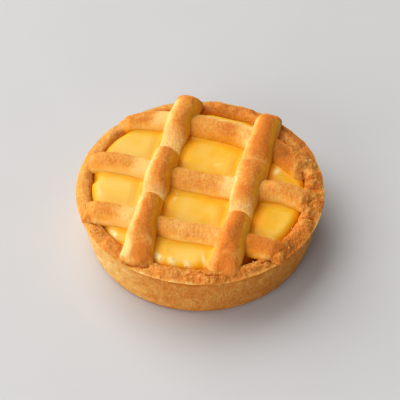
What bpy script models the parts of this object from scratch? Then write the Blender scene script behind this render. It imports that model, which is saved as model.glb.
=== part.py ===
"""A small custard crostata: a shortcrust tart shell, its custard filling, and a lattice of five dough strips.

Lengths are in metres, +Z is up, and the origin is the middle of the underside.
Three strips lie from left to right (back, middle, front), and two lie over them from front to back (left, right).
"""

import math
from collections import namedtuple

import bpy
import numpy as np

MM = 0.001

# Shell: the wall leans out from the base to a seam, where a rough rim stands on it
BASE_RADIUS = 36.9 * MM
SEAM_RADIUS = 39.2 * MM
LIP_RADIUS = 39.8 * MM
SEAM_HEIGHT = 17.9 * MM
RIM_HEIGHT = 19.2 * MM
BASE_EDGE = 1.7 * MM
FLOOR_THICKNESS = 4.0 * MM
FLOOR_RADIUS = 31.0 * MM
RIM_INNER_RADIUS = 34.6 * MM
RIM_WIDER_RIGHT = 0.6 * MM
RIM_WIDER_FRONT = 0.5 * MM
# Where the rim fills inwards: direction and reach in degrees, and how far, below 0 where it draws back
RIM_FILLS = ((36.0, 12.0, 1.6 * MM), (-62.0, 12.0, -1.2 * MM))
INNER_WALL_LEAN = 1.0 * MM
SHELL_DIVISIONS = 120

# Relief of the shell: crags on the rim, low waves on the wall
CRAG_SIZE = 5.2 * MM
FINE_CRAG_SIZE = 2.7 * MM
FINE_CRAG_SHARE = 0.6
CRAG_HEIGHT = 0.75 * MM
WAVE_SIZE = 11.0 * MM
WAVE_HEIGHT = 0.35 * MM

# Custard: a level that swells to the left, pillows between the strips, and a round edge
CUSTARD_LEVEL = 17.3 * MM
CUSTARD_SWELL = 1.2 * MM
CUSTARD_SWELL_AT = (-27.0 * MM, 2.0 * MM)
CUSTARD_SWELL_REACH = 15.0 * MM
PILLOW_HEIGHT = 1.35 * MM
PILLOW_REACH = 4.5 * MM
CUSTARD_EDGE_DROP = 2.4 * MM
CUSTARD_EDGE_REACH = 3.4 * MM
# Hollows in the custard: x, y, reach along and across, turn in degrees and depth, in millimetres
CUSTARD_HOLLOWS = (
    (16.6, -30.2, 5.0, 2.6, 22.0, 2.4),
    (11.0, 32.4, 9.0, 1.5, -16.0, 1.5),
    (-34.4, 2.2, 2.0, 1.8, 90.0, 1.5),
)
CUSTARD_DIVISIONS = 64
CUSTARD_RINGS = 9

# Every piece keeps this gap to its neighbours
GAP = 0.3 * MM

# A strip's centre line from start to end: x, y, height of its crown and width, in millimetres. melts says how far
# each end flattens onto the rim, from 0, an end that stands proud, to 1, one that lies almost level with it.
Strip = namedtuple("Strip", "name underside melts line")
ACROSS_UNDERSIDE = 17.6 * MM
ALONG_UNDERSIDE = 18.4 * MM
ACROSS = (
    Strip("lattice_back", ACROSS_UNDERSIDE, (1.0, 1.0), (
        (-27.5, 26.6, 21.0, 4.4), (-18.5, 28.6, 22.0, 7.8), (-6.5, 27.6, 22.2, 9.2), (4.5, 25.0, 22.0, 9.4),
        (15.5, 21.0, 22.2, 9.4), (26.5, 13.8, 21.8, 9.4), (35.6, 4.6, 20.8, 9.4),
    )),
    Strip("lattice_middle", ACROSS_UNDERSIDE, (0.5, 0.7), (
        (-37.9, 9.0, 21.8, 8.0), (-26.0, 7.9, 22.8, 8.4), (-13.5, 3.9, 22.0, 8.2), (-0.5, 0.7, 21.2, 9.2),
        (12.0, -2.4, 21.6, 9.2), (25.0, -3.8, 22.2, 8.6), (37.0, -8.9, 21.2, 8.6),
    )),
    Strip("lattice_front", ACROSS_UNDERSIDE, (0.6, 0.6), (
        (-36.9, -12.2, 21.6, 8.0), (-26.8, -13.6, 22.6, 8.6), (-16.0, -16.8, 22.0, 8.0), (-4.5, -20.0, 21.2, 7.6),
        (6.5, -22.4, 21.4, 7.6), (16.6, -25.8, 21.8, 8.0), (26.5, -28.3, 20.8, 7.8),
    )),
)
ALONG = (
    Strip("lattice_left", ALONG_UNDERSIDE, (0.8, 0.0), (
        (-19.2, -32.9, 21.2, 10.0), (-17.7, -21.6, 21.4, 9.0), (-15.6, -9.8, 20.4, 7.9), (-13.2, 2.4, 20.6, 8.9),
        (-10.2, 14.6, 20.4, 7.9), (-6.9, 26.9, 21.8, 9.2), (-3.2, 39.0, 22.8, 9.4),
    )),
    Strip("lattice_right", ALONG_UNDERSIDE, (0.8, 0.2), (
        (6.4, -36.9, 21.0, 9.8), (9.4, -26.0, 21.4, 9.2), (12.4, -14.3, 20.4, 7.9), (14.8, -2.8, 21.4, 9.3),
        (17.9, 8.6, 22.0, 9.7), (21.2, 20.0, 22.2, 9.2), (23.7, 30.9, 22.0, 8.8),
    )),
)
END_ROUNDING = 1.5 * MM
END_STATIONS = 4
MELT_REACH = 5.0 * MM
MELT_HEIGHT = 20.3 * MM
MELT_SPREAD = 0.12
WIDEST_AT = 0.20
SECTION_POWER = 0.96
UNDERSIDE_POWER = 0.6
STRIP_WOBBLE = 0.35 * MM
WOBBLE_SIZE = 8.0 * MM
STRIP_STATIONS = 34
STRIP_SIDES = 11
LINE_SAMPLES = 240

# Where a strip along crosses a strip across, it rises this far over the lower crown, holds on for a while on
# either side of the lower centre line, and then falls, steeply at the back and gently in front. Behind the middle
# strip the one on the right falls gently too
DRAPE_COVER = 2.7 * MM
DRAPE_HOLD_BACK = 7.6 * MM
DRAPE_FALL_BACK = 2.0 * MM
DRAPE_GENTLE_FALL = 6.5 * MM
DRAPE_GENTLE_SHORTER = 2.0 * MM
DRAPE_HOLD_FRONT = 4.5 * MM
DRAPE_FALL_FRONT = 5.0 * MM

CRUST_COLOUR = (0.60, 0.31, 0.10, 1.0)
LATTICE_COLOUR = (0.66, 0.34, 0.11, 1.0)
CUSTARD_COLOUR = (0.95, 0.62, 0.08, 1.0)


def clear_scene():
    for obj in list(bpy.data.objects):
        bpy.data.objects.remove(obj, do_unlink=True)


def ease(x):
    """A smooth step from 0 at x = 0 to 1 at x = 1."""
    x = np.clip(x, 0.0, 1.0)
    return x * x * (3.0 - 2.0 * x)


def gradient_noise(points, cell, seed):
    """Smooth noise of about -1 to 1: random slopes on a grid of cells, blended between the eight corners."""
    rng = np.random.default_rng(seed)
    table = rng.permutation(256)
    slopes = rng.normal(size=(256, 3))
    slopes /= np.linalg.norm(slopes, axis=1, keepdims=True)
    scaled = np.asarray(points) / cell
    corner = np.floor(scaled).astype(int)
    inside = scaled - corner
    blend = inside**3 * (inside * (inside * 6.0 - 15.0) + 10.0)
    total = np.zeros(scaled.shape[:-1])
    for offset in np.ndindex(2, 2, 2):
        x, y, z = ((corner[..., k] + offset[k]) & 255 for k in range(3))
        slope = slopes[table[(table[(table[x] + y) & 255] + z) & 255]]
        weight = np.prod(np.where(offset, blend, 1.0 - blend), axis=-1)
        total += weight * ((inside - np.array(offset)) * slope).sum(-1)
    return total * 1.6


def along_line(strip, s):
    """Centre line of a strip at places s from 0 to 1: x, y, crown height and width, a smooth curve through
    the strip's own points (Catmull-Rom)."""
    values = np.array(strip.line) * MM
    padded = np.concatenate([2 * values[:1] - values[1:2], values, 2 * values[-1:] - values[-2:-1]])
    place = np.clip(s, 0.0, 1.0) * (len(values) - 1)
    k = np.minimum(place.astype(int), len(values) - 2)
    t = (place - k)[..., None]
    a, b, c, d = (padded[k + i] for i in range(4))
    return b + 0.5 * t * (c - a + t * (2 * a - 5 * b + 4 * c - d + t * (3 * (b - c) + d - a)))


def line_length(strip):
    points = along_line(strip, np.linspace(0.0, 1.0, LINE_SAMPLES))[:, :2]
    return np.linalg.norm(np.diff(points, axis=0), axis=1).sum()


def unit_normal(strip, s):
    """Unit vector in plan to the left of a strip's centre line."""
    step = 0.5 / LINE_SAMPLES
    tangent = (along_line(strip, s + step) - along_line(strip, s - step))[..., :2]
    tangent /= np.linalg.norm(tangent, axis=-1, keepdims=True)
    return np.stack([-tangent[..., 1], tangent[..., 0]], -1)


def nearest_on_line(strip, x, y):
    """Place along a strip of the nearest point of its centre line, and the distance to the left of it."""
    samples = np.linspace(0.0, 1.0, LINE_SAMPLES)
    line = along_line(strip, samples)[:, :2]
    normals = unit_normal(strip, samples)
    away = np.stack([x, y], -1)[..., None, :] - line
    nearest = np.argmin((away**2).sum(-1), axis=-1)
    distance = np.linalg.norm(np.take_along_axis(away, nearest[..., None, None], axis=-2)[..., 0, :], axis=-1)
    to_left = (np.take_along_axis(away, nearest[..., None, None], axis=-2)[..., 0, :] * normals[nearest]).sum(-1)
    return samples[nearest], np.copysign(distance, to_left)


def draped(x, y, crown):
    """Crown height of a strip along, raised over each strip across that it crosses."""
    raised = crown
    for lower in ACROSS:
        place, aside = nearest_on_line(lower, x, y)
        gentle = ease((x - 4.0 * MM) / (6.0 * MM)) if lower.name == "lattice_middle" else 0.0
        fall = DRAPE_FALL_BACK + (DRAPE_GENTLE_FALL - DRAPE_FALL_BACK) * gentle
        back = ease((DRAPE_HOLD_BACK - DRAPE_GENTLE_SHORTER * gentle + fall - aside) / fall)
        front = ease((DRAPE_HOLD_FRONT + DRAPE_FALL_FRONT + aside) / DRAPE_FALL_FRONT)
        over = along_line(lower, place)[..., 2] + DRAPE_COVER
        raised = np.maximum(raised, crown + (over - crown) * back * front)
    return raised


def strip_surface(strip, s, around, grow):
    """Points of a strip for places along it and angles round it: a section that is round above and flatter below,
    carried along the centre line, flattened where an end melts into the rim, and shrunk to a round end.
    grow adds that much on every side."""
    length = line_length(strip)
    reach = np.minimum(s, 1.0 - s) * length
    melt = np.where(s < 0.5, *strip.melts) * (1.0 - ease(reach / MELT_REACH))
    close = np.sqrt(1.0 - (1.0 - np.clip(reach / END_ROUNDING, 0.0, 1.0)) ** 2)
    centre = along_line(strip, s)
    normal = unit_normal(strip, s)
    outward = np.where(s < 0.5, -1.0, 1.0) * (1.0 - close) * grow
    crown = centre[..., 2]
    if strip in ALONG:
        crown = draped(centre[..., 0], centre[..., 1], crown)
    crown = crown + (MELT_HEIGHT - crown) * melt
    across, up = np.cos(around), np.sin(around)
    side = np.sign(across) * np.abs(across) ** SECTION_POWER
    above = WIDEST_AT + (1.0 - WIDEST_AT) * np.abs(up) ** SECTION_POWER
    below = WIDEST_AT * (1.0 - np.abs(up) ** UNDERSIDE_POWER)
    rise = np.where(up > 0.0, above, below)
    wobble_at = np.stack([centre[..., 0], centre[..., 1], side * centre[..., 3]], -1)
    wobble = gradient_noise(wobble_at, WOBBLE_SIZE, len(strip.name)) * STRIP_WOBBLE
    half = (centre[..., 3] / 2.0 * (1.0 + MELT_SPREAD * melt) + wobble + grow) * close
    plan = centre[..., :2] + normal * (side * half)[..., None]
    plan = plan + np.stack([normal[..., 1], -normal[..., 0]], -1) * outward[..., None]
    thickness = crown - strip.underside
    height = WIDEST_AT + (rise - WIDEST_AT) * close
    z = strip.underside + thickness * height + (wobble * 0.5 + grow * np.sign(up)) * close
    return np.stack([plan[..., 0], plan[..., 1], z], -1)


def tube_mesh(name, rings, first, last):
    """A closed mesh from rings of points, each end closed by a fan to a single point."""
    count, sides = rings.shape[:2]
    points = [first, *rings.reshape(-1, 3), last]
    faces = []
    for j in range(sides):
        k = (j + 1) % sides
        faces.append((0, 1 + k, 1 + j))
        for i in range(count - 1):
            a, b = 1 + i * sides, 1 + (i + 1) * sides
            faces.append((a + j, a + k, b + k, b + j))
        base = 1 + (count - 1) * sides
        faces.append((base + j, base + k, 1 + count * sides))
    mesh = bpy.data.meshes.new(name)
    mesh.from_pydata([tuple(map(float, p)) for p in points], [], faces)
    mesh.validate()
    return mesh


def add_object(name, mesh, colour, roughness):
    obj = bpy.data.objects.new(name, mesh)
    bpy.context.scene.collection.objects.link(obj)
    material = bpy.data.materials.new(name)
    material.use_nodes = True
    shader = material.node_tree.nodes["Principled BSDF"]
    shader.inputs["Base Color"].default_value = colour
    shader.inputs["Roughness"].default_value = roughness
    shader.inputs["Metallic"].default_value = 0.0
    mesh.materials.append(material)
    mesh.shade_smooth()
    return obj


def strip_mesh(strip, name, grow):
    """A strip's closed mesh: even stations, and a few that crowd into each round end."""
    turn = np.linspace(0.45, math.pi / 2.0, END_STATIONS)
    end = END_ROUNDING * (1.0 - np.cos(turn)) / line_length(strip)
    middle = np.linspace(end[-1], 1.0 - end[-1], STRIP_STATIONS)[1:-1]
    stations = np.concatenate([end, middle, 1.0 - end[::-1]])
    angles = np.linspace(0.0, 2.0 * np.pi, STRIP_SIDES, endpoint=False)
    s, around = np.meshgrid(stations, angles, indexing="ij")
    rings = strip_surface(strip, s, around, grow)
    return tube_mesh(name, rings, rings[0].mean(0), rings[-1].mean(0))


def add_strip(strip):
    return add_object(strip.name, strip_mesh(strip, strip.name, 0.0), LATTICE_COLOUR, 0.7)


def add_cutter(strip):
    """A hidden copy of a strip, larger by the gap, that presses its seat into what it lies on."""
    name = strip.name + "_seat"
    cutter = bpy.data.objects.new(name, strip_mesh(strip, name, GAP))
    bpy.context.scene.collection.objects.link(cutter)
    cutter.hide_render = True
    cutter.display_type = "WIRE"
    return cutter


def press(obj, cutters):
    for cutter in cutters:
        seat = obj.modifiers.new(cutter.name, "BOOLEAN")
        seat.operation = "DIFFERENCE"
        seat.solver = "EXACT"
        seat.object = cutter


def inner_edge(angle):
    """Radius of the rim's inner edge: the rim is wider on the right and in front, fills the corner behind the end
    of the back strip, and draws back at the hollow in front."""
    turn = np.degrees((np.asarray(angle) + np.pi) % (2.0 * np.pi) - np.pi)
    fill = sum(much * np.exp(-((turn - at) / reach) ** 2) for at, reach, much in RIM_FILLS)
    return RIM_INNER_RADIUS - RIM_WIDER_RIGHT * np.cos(angle) + RIM_WIDER_FRONT * np.sin(angle) - fill


def wall_radius(height):
    return BASE_RADIUS + (SEAM_RADIUS - BASE_RADIUS) * height / SEAM_HEIGHT


def shell_profile(angle):
    """Radius, height, share of crags and share of waves down the shell's section, from the underside out and over
    the rim to the floor inside."""
    inner = inner_edge(angle)
    rows = []
    for turn in (-math.pi / 2.0, -math.pi / 4.0, 0.0):
        out, up = BASE_EDGE * (1.0 - math.cos(turn)), BASE_EDGE * (1.0 + math.sin(turn))
        rows.append((wall_radius(BASE_EDGE) - out, up, 0.0, 0.0))
    for share in (0.35, 0.65):
        rows.append((wall_radius(SEAM_HEIGHT * share), SEAM_HEIGHT * share, 0.1, 1.0))
    rows.append((SEAM_RADIUS - 0.1 * MM, SEAM_HEIGHT - 0.3 * MM, 0.2, 1.0))
    rows.append((LIP_RADIUS, SEAM_HEIGHT + 0.2 * MM, 0.3, 0.5))
    top_outer = LIP_RADIUS - 0.3 * MM
    rows.append((top_outer, RIM_HEIGHT - 0.75 * MM, 0.7, 0.5))
    for share, drop in ((0.2, 0.35), (0.4, 0.05), (0.6, 0.0), (0.8, 0.25), (1.0, 1.0)):
        rows.append((top_outer - (top_outer - inner) * share, RIM_HEIGHT - drop * MM, 1.0 - 0.3 * drop, 0.0))
    rows.append((inner - 0.45 * INNER_WALL_LEAN, RIM_HEIGHT - 2.6 * MM, 0.3, 0.0))
    rows.append((inner - INNER_WALL_LEAN, RIM_HEIGHT - 5.2 * MM, 0.0, 0.0))
    rows.append((FLOOR_RADIUS + 0.8 * MM, FLOOR_THICKNESS + 2.0 * MM, 0.0, 0.0))
    rows.append((FLOOR_RADIUS - 1.0 * MM, FLOOR_THICKNESS, 0.0, 0.0))
    return rows


def shell_mesh(name):
    """The shell: the section turned round the axis, roughened by crags on the rim and low waves on the wall."""
    angles = np.linspace(0.0, 2.0 * np.pi, SHELL_DIVISIONS, endpoint=False)
    rows = [[np.broadcast_to(value, angles.shape) for value in row] for row in shell_profile(angles)]
    radius, height, cragged, wavy = np.array(rows).transpose(1, 0, 2)
    points = np.stack([radius * np.cos(angles), radius * np.sin(angles), height], -1)
    fine_crag = gradient_noise(points, FINE_CRAG_SIZE, 4) * FINE_CRAG_SHARE
    crag = (gradient_noise(points, CRAG_SIZE, 3) + fine_crag) * cragged
    wave = gradient_noise(points, WAVE_SIZE, 5) * wavy
    radius = radius + crag * CRAG_HEIGHT * 0.4 + wave * WAVE_HEIGHT * 0.5
    height = height + crag * CRAG_HEIGHT
    rings = np.stack([radius * np.cos(angles), radius * np.sin(angles), height], -1)
    return tube_mesh(name, rings, (0.0, 0.0, 0.0), (0.0, 0.0, FLOOR_THICKNESS))


def add_crust():
    return add_object("crust", shell_mesh("crust"), CRUST_COLOUR, 0.85)


def bell(x, y, place, reach):
    """A round hill of height 1 that fades with distance from place (a Gaussian)."""
    return np.exp(-((x - place[0]) ** 2 + (y - place[1]) ** 2) / (2.0 * reach**2))


def long_hill(x, y, at_x, at_y, long, wide, turn):
    """A hill of height 1, long one way and wide the other, turned in plan (a Gaussian along and across)."""
    cos, sin = math.cos(math.radians(turn)), math.sin(math.radians(turn))
    away_x, away_y = x / MM - at_x, y / MM - at_y
    along, across = away_x * cos + away_y * sin, away_y * cos - away_x * sin
    return np.exp(-((along / long) ** 2) - (across / wide) ** 2)


def custard_height(x, y, from_edge):
    """Height of the custard: level, swollen to the left, higher between the strips, hollow in places and round at
    its edge."""
    swell = CUSTARD_SWELL * bell(x, y, CUSTARD_SWELL_AT, CUSTARD_SWELL_REACH)
    hollow = sum(depth * MM * long_hill(x, y, *place) for *place, depth in CUSTARD_HOLLOWS)
    open_share = np.ones(np.shape(x))
    for strip in ACROSS + ALONG:
        place, aside = nearest_on_line(strip, x, y)
        half = along_line(strip, place)[..., 3] / 2.0
        open_share = open_share * ease((np.abs(aside) - half + 1.0 * MM) / PILLOW_REACH)
    inward = np.clip(from_edge / CUSTARD_EDGE_REACH, 0.0, 1.0)
    drop = CUSTARD_EDGE_DROP * (1.0 - np.sqrt(1.0 - (1.0 - inward) ** 2))
    return CUSTARD_LEVEL + swell - hollow + PILLOW_HEIGHT * open_share - drop


def custard_mesh(name):
    """The custard: a turned plug that keeps the gap to the shell, under the custard's own surface."""
    angles = np.linspace(0.0, 2.0 * np.pi, CUSTARD_DIVISIONS, endpoint=False)
    outer = inner_edge(angles) - INNER_WALL_LEAN - GAP
    low = np.full_like(angles, FLOOR_RADIUS - GAP)
    rows = [(low - 1.0 * MM, FLOOR_THICKNESS + GAP + 0.0 * angles)]
    rows.append((low + 0.8 * MM, FLOOR_THICKNESS + 2.0 * MM + 0.0 * angles))
    rows.append((outer - 0.4 * MM, RIM_HEIGHT - 7.2 * MM + 0.0 * angles))
    for share in np.linspace(0.0, 1.0, CUSTARD_RINGS, endpoint=False) ** 1.35:
        radius = outer * (1.0 - share)
        x, y = radius * np.cos(angles), radius * np.sin(angles)
        rows.append((radius, custard_height(x, y, outer * share)))
    rings = np.array([np.stack([r * np.cos(angles), r * np.sin(angles), z], -1) for r, z in rows])
    middle = float(rings[-1, :, 2].mean())
    return tube_mesh(name, rings, (0.0, 0.0, FLOOR_THICKNESS + GAP), (0.0, 0.0, middle))


def add_custard():
    return add_object("custard", custard_mesh("custard"), CUSTARD_COLOUR, 0.3)


def main():
    clear_scene()
    across_cutters = [add_cutter(strip) for strip in ACROSS]
    along_cutters = [add_cutter(strip) for strip in ALONG]
    for strip in ACROSS:
        add_strip(strip)
    for strip in ALONG:
        press(add_strip(strip), across_cutters)
    press(add_crust(), across_cutters + along_cutters)
    press(add_custard(), across_cutters + along_cutters)


main()
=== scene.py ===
"""Dresses the custard crostata: fine baked dough, glossy custard, crumbs and bubbles, on a pale floor.

Every piece stands in the same frame as the solids, in metres, with +Z up.
"""

import math
from collections import namedtuple

import bpy
import numpy as np
from bpy.props import FloatProperty, FloatVectorProperty, IntProperty, PointerProperty
from mathutils import Matrix, Vector


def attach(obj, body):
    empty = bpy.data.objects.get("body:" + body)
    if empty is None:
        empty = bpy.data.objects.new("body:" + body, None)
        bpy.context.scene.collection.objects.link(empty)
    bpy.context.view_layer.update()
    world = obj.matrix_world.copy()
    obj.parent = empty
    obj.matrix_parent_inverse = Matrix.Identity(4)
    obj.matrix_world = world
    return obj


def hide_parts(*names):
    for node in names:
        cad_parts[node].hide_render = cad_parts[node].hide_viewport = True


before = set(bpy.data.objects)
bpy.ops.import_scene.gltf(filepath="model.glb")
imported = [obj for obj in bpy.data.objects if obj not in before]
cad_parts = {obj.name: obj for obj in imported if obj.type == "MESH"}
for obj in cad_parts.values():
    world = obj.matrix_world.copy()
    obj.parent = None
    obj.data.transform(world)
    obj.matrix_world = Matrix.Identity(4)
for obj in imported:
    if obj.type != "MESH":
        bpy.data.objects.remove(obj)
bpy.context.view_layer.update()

bl_info = {
    "name": "Custard crostata",
    "version": (1, 0, 0),
    "blender": (4, 5, 0),
    "location": "3D View > Sidebar > Crostata",
    "description": "Builds a small baked tart with custard under a lattice of dough strips",
    "category": "Add Mesh",
}

MM = 0.001

# Shell, as the solid crust has it: a leaning wall, a seam and a rough rim
BASE_RADIUS = 36.9 * MM
SEAM_RADIUS = 39.2 * MM
LIP_RADIUS = 39.8 * MM
SEAM_HEIGHT = 17.9 * MM
RIM_HEIGHT = 19.2 * MM
BASE_EDGE = 1.7 * MM
FLOOR_THICKNESS = 4.0 * MM
FLOOR_RADIUS = 31.0 * MM
RIM_INNER_RADIUS = 34.6 * MM
RIM_WIDER_RIGHT = 0.6 * MM
RIM_WIDER_FRONT = 0.5 * MM
INNER_WALL_LEAN = 1.0 * MM
CRAG_SIZE = 5.2 * MM
FINE_CRAG_SIZE = 2.7 * MM
FINE_CRAG_SHARE = 0.6
CRAG_HEIGHT = 0.75 * MM
WAVE_SIZE = 11.0 * MM
WAVE_HEIGHT = 0.35 * MM
SHELL_DIVISIONS = 860
# How many rings lie between two numbered rows of the section: (from row, rings)
SHELL_SPACING = ((0, 7), (3, 33), (9, 52), (16, 9), (18, 4))
# Where the rim fills inwards: direction and reach in degrees, and how far, below 0 where it draws back
RIM_FILLS = ((36.0, 12.0, 1.6 * MM), (-62.0, 12.0, -1.2 * MM))
# Where the rim swells up to a strip that melts into it: x, y, reach and height, in millimetres
RIM_RISES = (
    (37.3, -9.6, 2.8, 1.3), (35.8, 3.0, 3.4, 1.1), (31.5, 17.0, 5.0, 0.7), (-37.0, 8.6, 2.6, 0.8),
    (-35.0, -12.2, 2.6, 0.7), (26.6, -28.0, 3.0, 0.6), (22.0, 31.0, 3.0, 0.4),
)

# Detail that the solid leaves out: a ridge and a groove along the seam, and cracks where strips end, in plan.
# A row is a place down the shell's section, counted from the underside.
RIDGE_ROW = 10.9
RIDGE_SPREAD = 0.5
GROOVE_ROW = 8.8
GROOVE_SPREAD = 0.36
# Where the ridge shows: direction and reach in degrees, and how strongly
RIDGE_PLACES = ((-104.0, 19.0, 0.85), (-55.0, 20.0, 0.55))
RIDGE_HEIGHT = 0.5 * MM
GROOVE_DEPTH = 0.3 * MM
# Where the rim is roughest: direction and reach in degrees, and how much rougher
ROUGH_PLACES = (
    (-90.0, 28.0, 0.55), (-32.0, 18.0, 0.35), (2.0, 16.0, 0.60), (-14.0, 8.0, 0.30), (38.0, 16.0, 0.20),
    (-135.0, 22.0, 0.25),
)
CRACK_WIDTH = 0.34 * MM
CRACK_DEPTH = 0.65 * MM
# Each crack is a broken line: x, y of its corners, in millimetres
CRACKS = (
    ((31.0, 2.6), (31.8, 2.0), (33.0, 1.3), (34.7, 2.0), (36.6, 1.8)),
    ((33.4, 2.2), (33.6, 3.6), (33.3, 4.8)),
    ((27.9, 19.5), (28.4, 16.7)),
    ((29.8, -14.0), (30.7, -14.6), (32.0, -14.0), (33.5, -14.6), (35.4, -14.4)),
    ((-34.7, -15.3), (-33.0, -17.0), (-30.7, -18.4)),
    ((-24.2, -31.6), (-22.9, -32.4), (-21.3, -32.7), (-18.9, -33.3), (-16.8, -33.8), (-15.1, -33.2)),
    ((1.4, -36.4), (2.2, -37.2), (4.0, -36.8), (5.7, -37.0), (7.2, -36.8), (9.9, -34.9), (11.4, -34.5)),
    ((18.6, -32.2), (21.6, -30.7), (25.1, -27.6)),
)

# How the shell is toasted, from 0 pale to 1 brown and 1.7 dark
CRUST_TOAST = 0.50
# Painted shade in creases, cracks, the groove and pores, and a painted highlight on the ridge
DETAIL_SHADE_AND_HIGHLIGHT = {"crease": 0.55, "ridge": -0.42, "groove": 0.85, "pore": 0.35}
INSIDE_TOAST = -0.12
FOOT_TOAST = 0.25
FOOT_HEIGHT = 2.2 * MM
# Painted light and shade on the wall: browner towards the front right, in shade, paler on the left, where the
# light falls
WALL_SHADE_RIGHT = 0.26
WALL_LIGHT_LEFT = 0.22
# The rim browner to the right: partly toasted, partly painted shade on the side away from the light
RIM_TOAST_AND_SHADE_RIGHT = 0.10
# Where the rim is toasted more: direction, reach in degrees, and by how much
RIM_TOAST = ((-80.0, 35.0, 0.10), (80.0, 22.0, 0.28), (-140.0, 35.0, 0.07))
# The brown corner behind the end of the back strip: direction, reach, and how much more
RIM_BROWN_CORNER = (45.0, 35.0, 0.85)
# The brown end of the front strip on the rim: x, y, reach and how much more
RIM_BROWN_END = (27.0 * MM, -27.5 * MM, 4.5 * MM, 0.85)
# Noise in the shell's toasting: size, seed and strength, on all of it and on the wall
SHELL_CLOUDS = ((7.0 * MM, 21, 0.08), (2.5 * MM, 22, 0.07))
WALL_CLOUDS = ((1.6 * MM, 23, 0.24), (4.0 * MM, 24, 0.14))

# Custard, with its level, swell and hollows as the solid has them
CUSTARD_LEVEL = 17.95 * MM
CUSTARD_SWELL = 1.0 * MM
CUSTARD_SWELL_AT = (-27.0 * MM, 2.0 * MM)
CUSTARD_SWELL_REACH = 15.0 * MM
# Hollows: x, y, reach along and across, turn in degrees, depth, and how dark it is, partly baked brown and
# partly painted shade in the hollow, in millimetres
CUSTARD_HOLLOWS = (
    (16.6, -30.2, 5.0, 2.6, 22.0, 2.4, 1.0),
    (11.0, 32.4, 9.0, 1.5, -16.0, 1.5, 0.55),
    (-34.4, 2.2, 2.0, 1.8, 90.0, 1.5, 0.55),
)
PILLOW_HEIGHT = 0.75 * MM
PILLOW_REACH = 4.5 * MM
CUSTARD_EDGE_DROP = 1.7 * MM
CUSTARD_EDGE_REACH = 3.0 * MM
CUSTARD_DIVISIONS = 420
CUSTARD_ROWS = 150
MENISCUS_HEIGHT = 0.55 * MM
MENISCUS_REACH = 0.9 * MM
DIMPLE_SIZE = 4.6 * MM
DIMPLE_DEPTH = 0.10 * MM
# How far the golden edge reaches from a strip and how golden it is, on its shaded side and on its lit side;
# the wider, stronger gold on the shaded side is painted shade
GOLDEN_AND_SHADE_ALONG = ((3.4 * MM, 1.8 * MM), (0.58, 0.30))
GOLDEN_AND_SHADE_ACROSS = ((1.9 * MM, 0.8 * MM), (0.40, 0.20))
# A painted contact shade: a dark golden line in the custard where it meets a strip, how strong and how far it
# reaches
CONTACT_SHADE = 0.16
CONTACT_SHADE_REACH = 0.7 * MM
# Wet foam that shows in the custard, pale partly as a painted highlight: x, y, its reach along and across in
# millimetres, its turn and its share
FOAM_AND_HIGHLIGHT = (
    (-12.3, -29.6, 1.6, 0.8, 110.0, 1.0), (-8.5, -31.2, 1.4, 0.8, 120.0, 0.9),
    (-3.6, -32.3, 1.2, 0.7, 130.0, 0.8), (1.3, -30.6, 2.0, 0.45, 100.0, 0.9),
    (25.0, 6.2, 1.4, 0.9, 60.0, 0.9), (-31.7, -4.0, 1.8, 0.5, 100.0, 0.5), (-26.2, -20.8, 2.2, 0.8, 130.0, 1.0),
    (5.6, 8.6, 0.9, 0.5, 20.0, 0.4), (-8.0, -6.6, 1.0, 0.5, 60.0, 0.4),
)
FOAM_HEIGHT = 0.24 * MM
# Small bubbles in the custard: x, y and radius in millimetres, and how foamy each is; the pale foam colour is
# partly a painted highlight
BUBBLES = (
    (-10.6, -30.6, 0.24, 0.5), (-5.8, -31.2, 0.20, 0.3), (-12.9, -28.8, 0.38, 0.9), (-11.9, -30.2, 0.32, 0.8),
    (-13.3, -30.0, 0.26, 0.8), (-9.1, -31.8, 0.30, 0.8), (-8.3, -30.5, 0.36, 0.7), (-4.3, -32.8, 0.28, 0.8),
    (-3.2, -31.7, 0.26, 0.7), (1.4, -31.4, 0.26, 0.8), (-26.9, -20.1, 0.36, 0.9), (-25.5, -21.5, 0.30, 0.8),
    (26.2, 5.0, 0.35, 0.5), (24.2, 7.4, 0.30, 0.4), (-7.4, -4.1, 0.30, 0.5), (-8.6, -8.1, 0.30, 0.4),
    (-7.9, -7.2, 0.20, 0.3), (-6.9, -5.4, 0.18, 0.3), (-25.4, -21.8, 0.30, 0.4), (-9.6, -26.9, 0.24, 0.2),
    (24.0, -14.0, 0.26, 0.2), (-18.6, 18.9, 0.22, 0.2), (0.6, -16.0, 0.22, 0.2), (28.4, -17.6, 0.24, 0.3),
    (27.0, -9.2, 0.22, 0.3), (26.0, 2.4, 0.24, 0.3), (-4.2, 13.6, 0.20, 0.2), (9.3, -12.8, 0.22, 0.2),
)
BUBBLE_RISE = 0.32
BUBBLE_SINK = 0.1
BUBBLE_LUMPS = 0.05
BUBBLE_RINGS = 8
BUBBLE_SIDES = 18

# Loose crumbs: how many, their radius from and to, and the rings and sides of each
CRUMB_COUNT = 190
CRUMB_RADIUS = (0.11 * MM, 0.36 * MM)
CRUMB_RINGS = 4
CRUMB_SIDES = 7
CRUMB_SQUASH = 0.75
CRUMB_LIFT = 0.3
CRUMB_LUMPS = 0.22

# A strip's centre line from start to end: x, y, height of its crown and width, in millimetres. melts says
# how far each end sinks into the rim, from 0, an end that stands proud, to 1, one that melts into it.
# browned says how far its top is toasted, and leans how far the brown leans to the right, which paints
# shade on the shaded right flank, and to the front.
# Beyond crumbly_from, a distance from the tart's middle for each end, the strip is as crumbly as the rim.
Strip = namedtuple("Strip", "name underside browned leans melts crumbly_from line")
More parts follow.
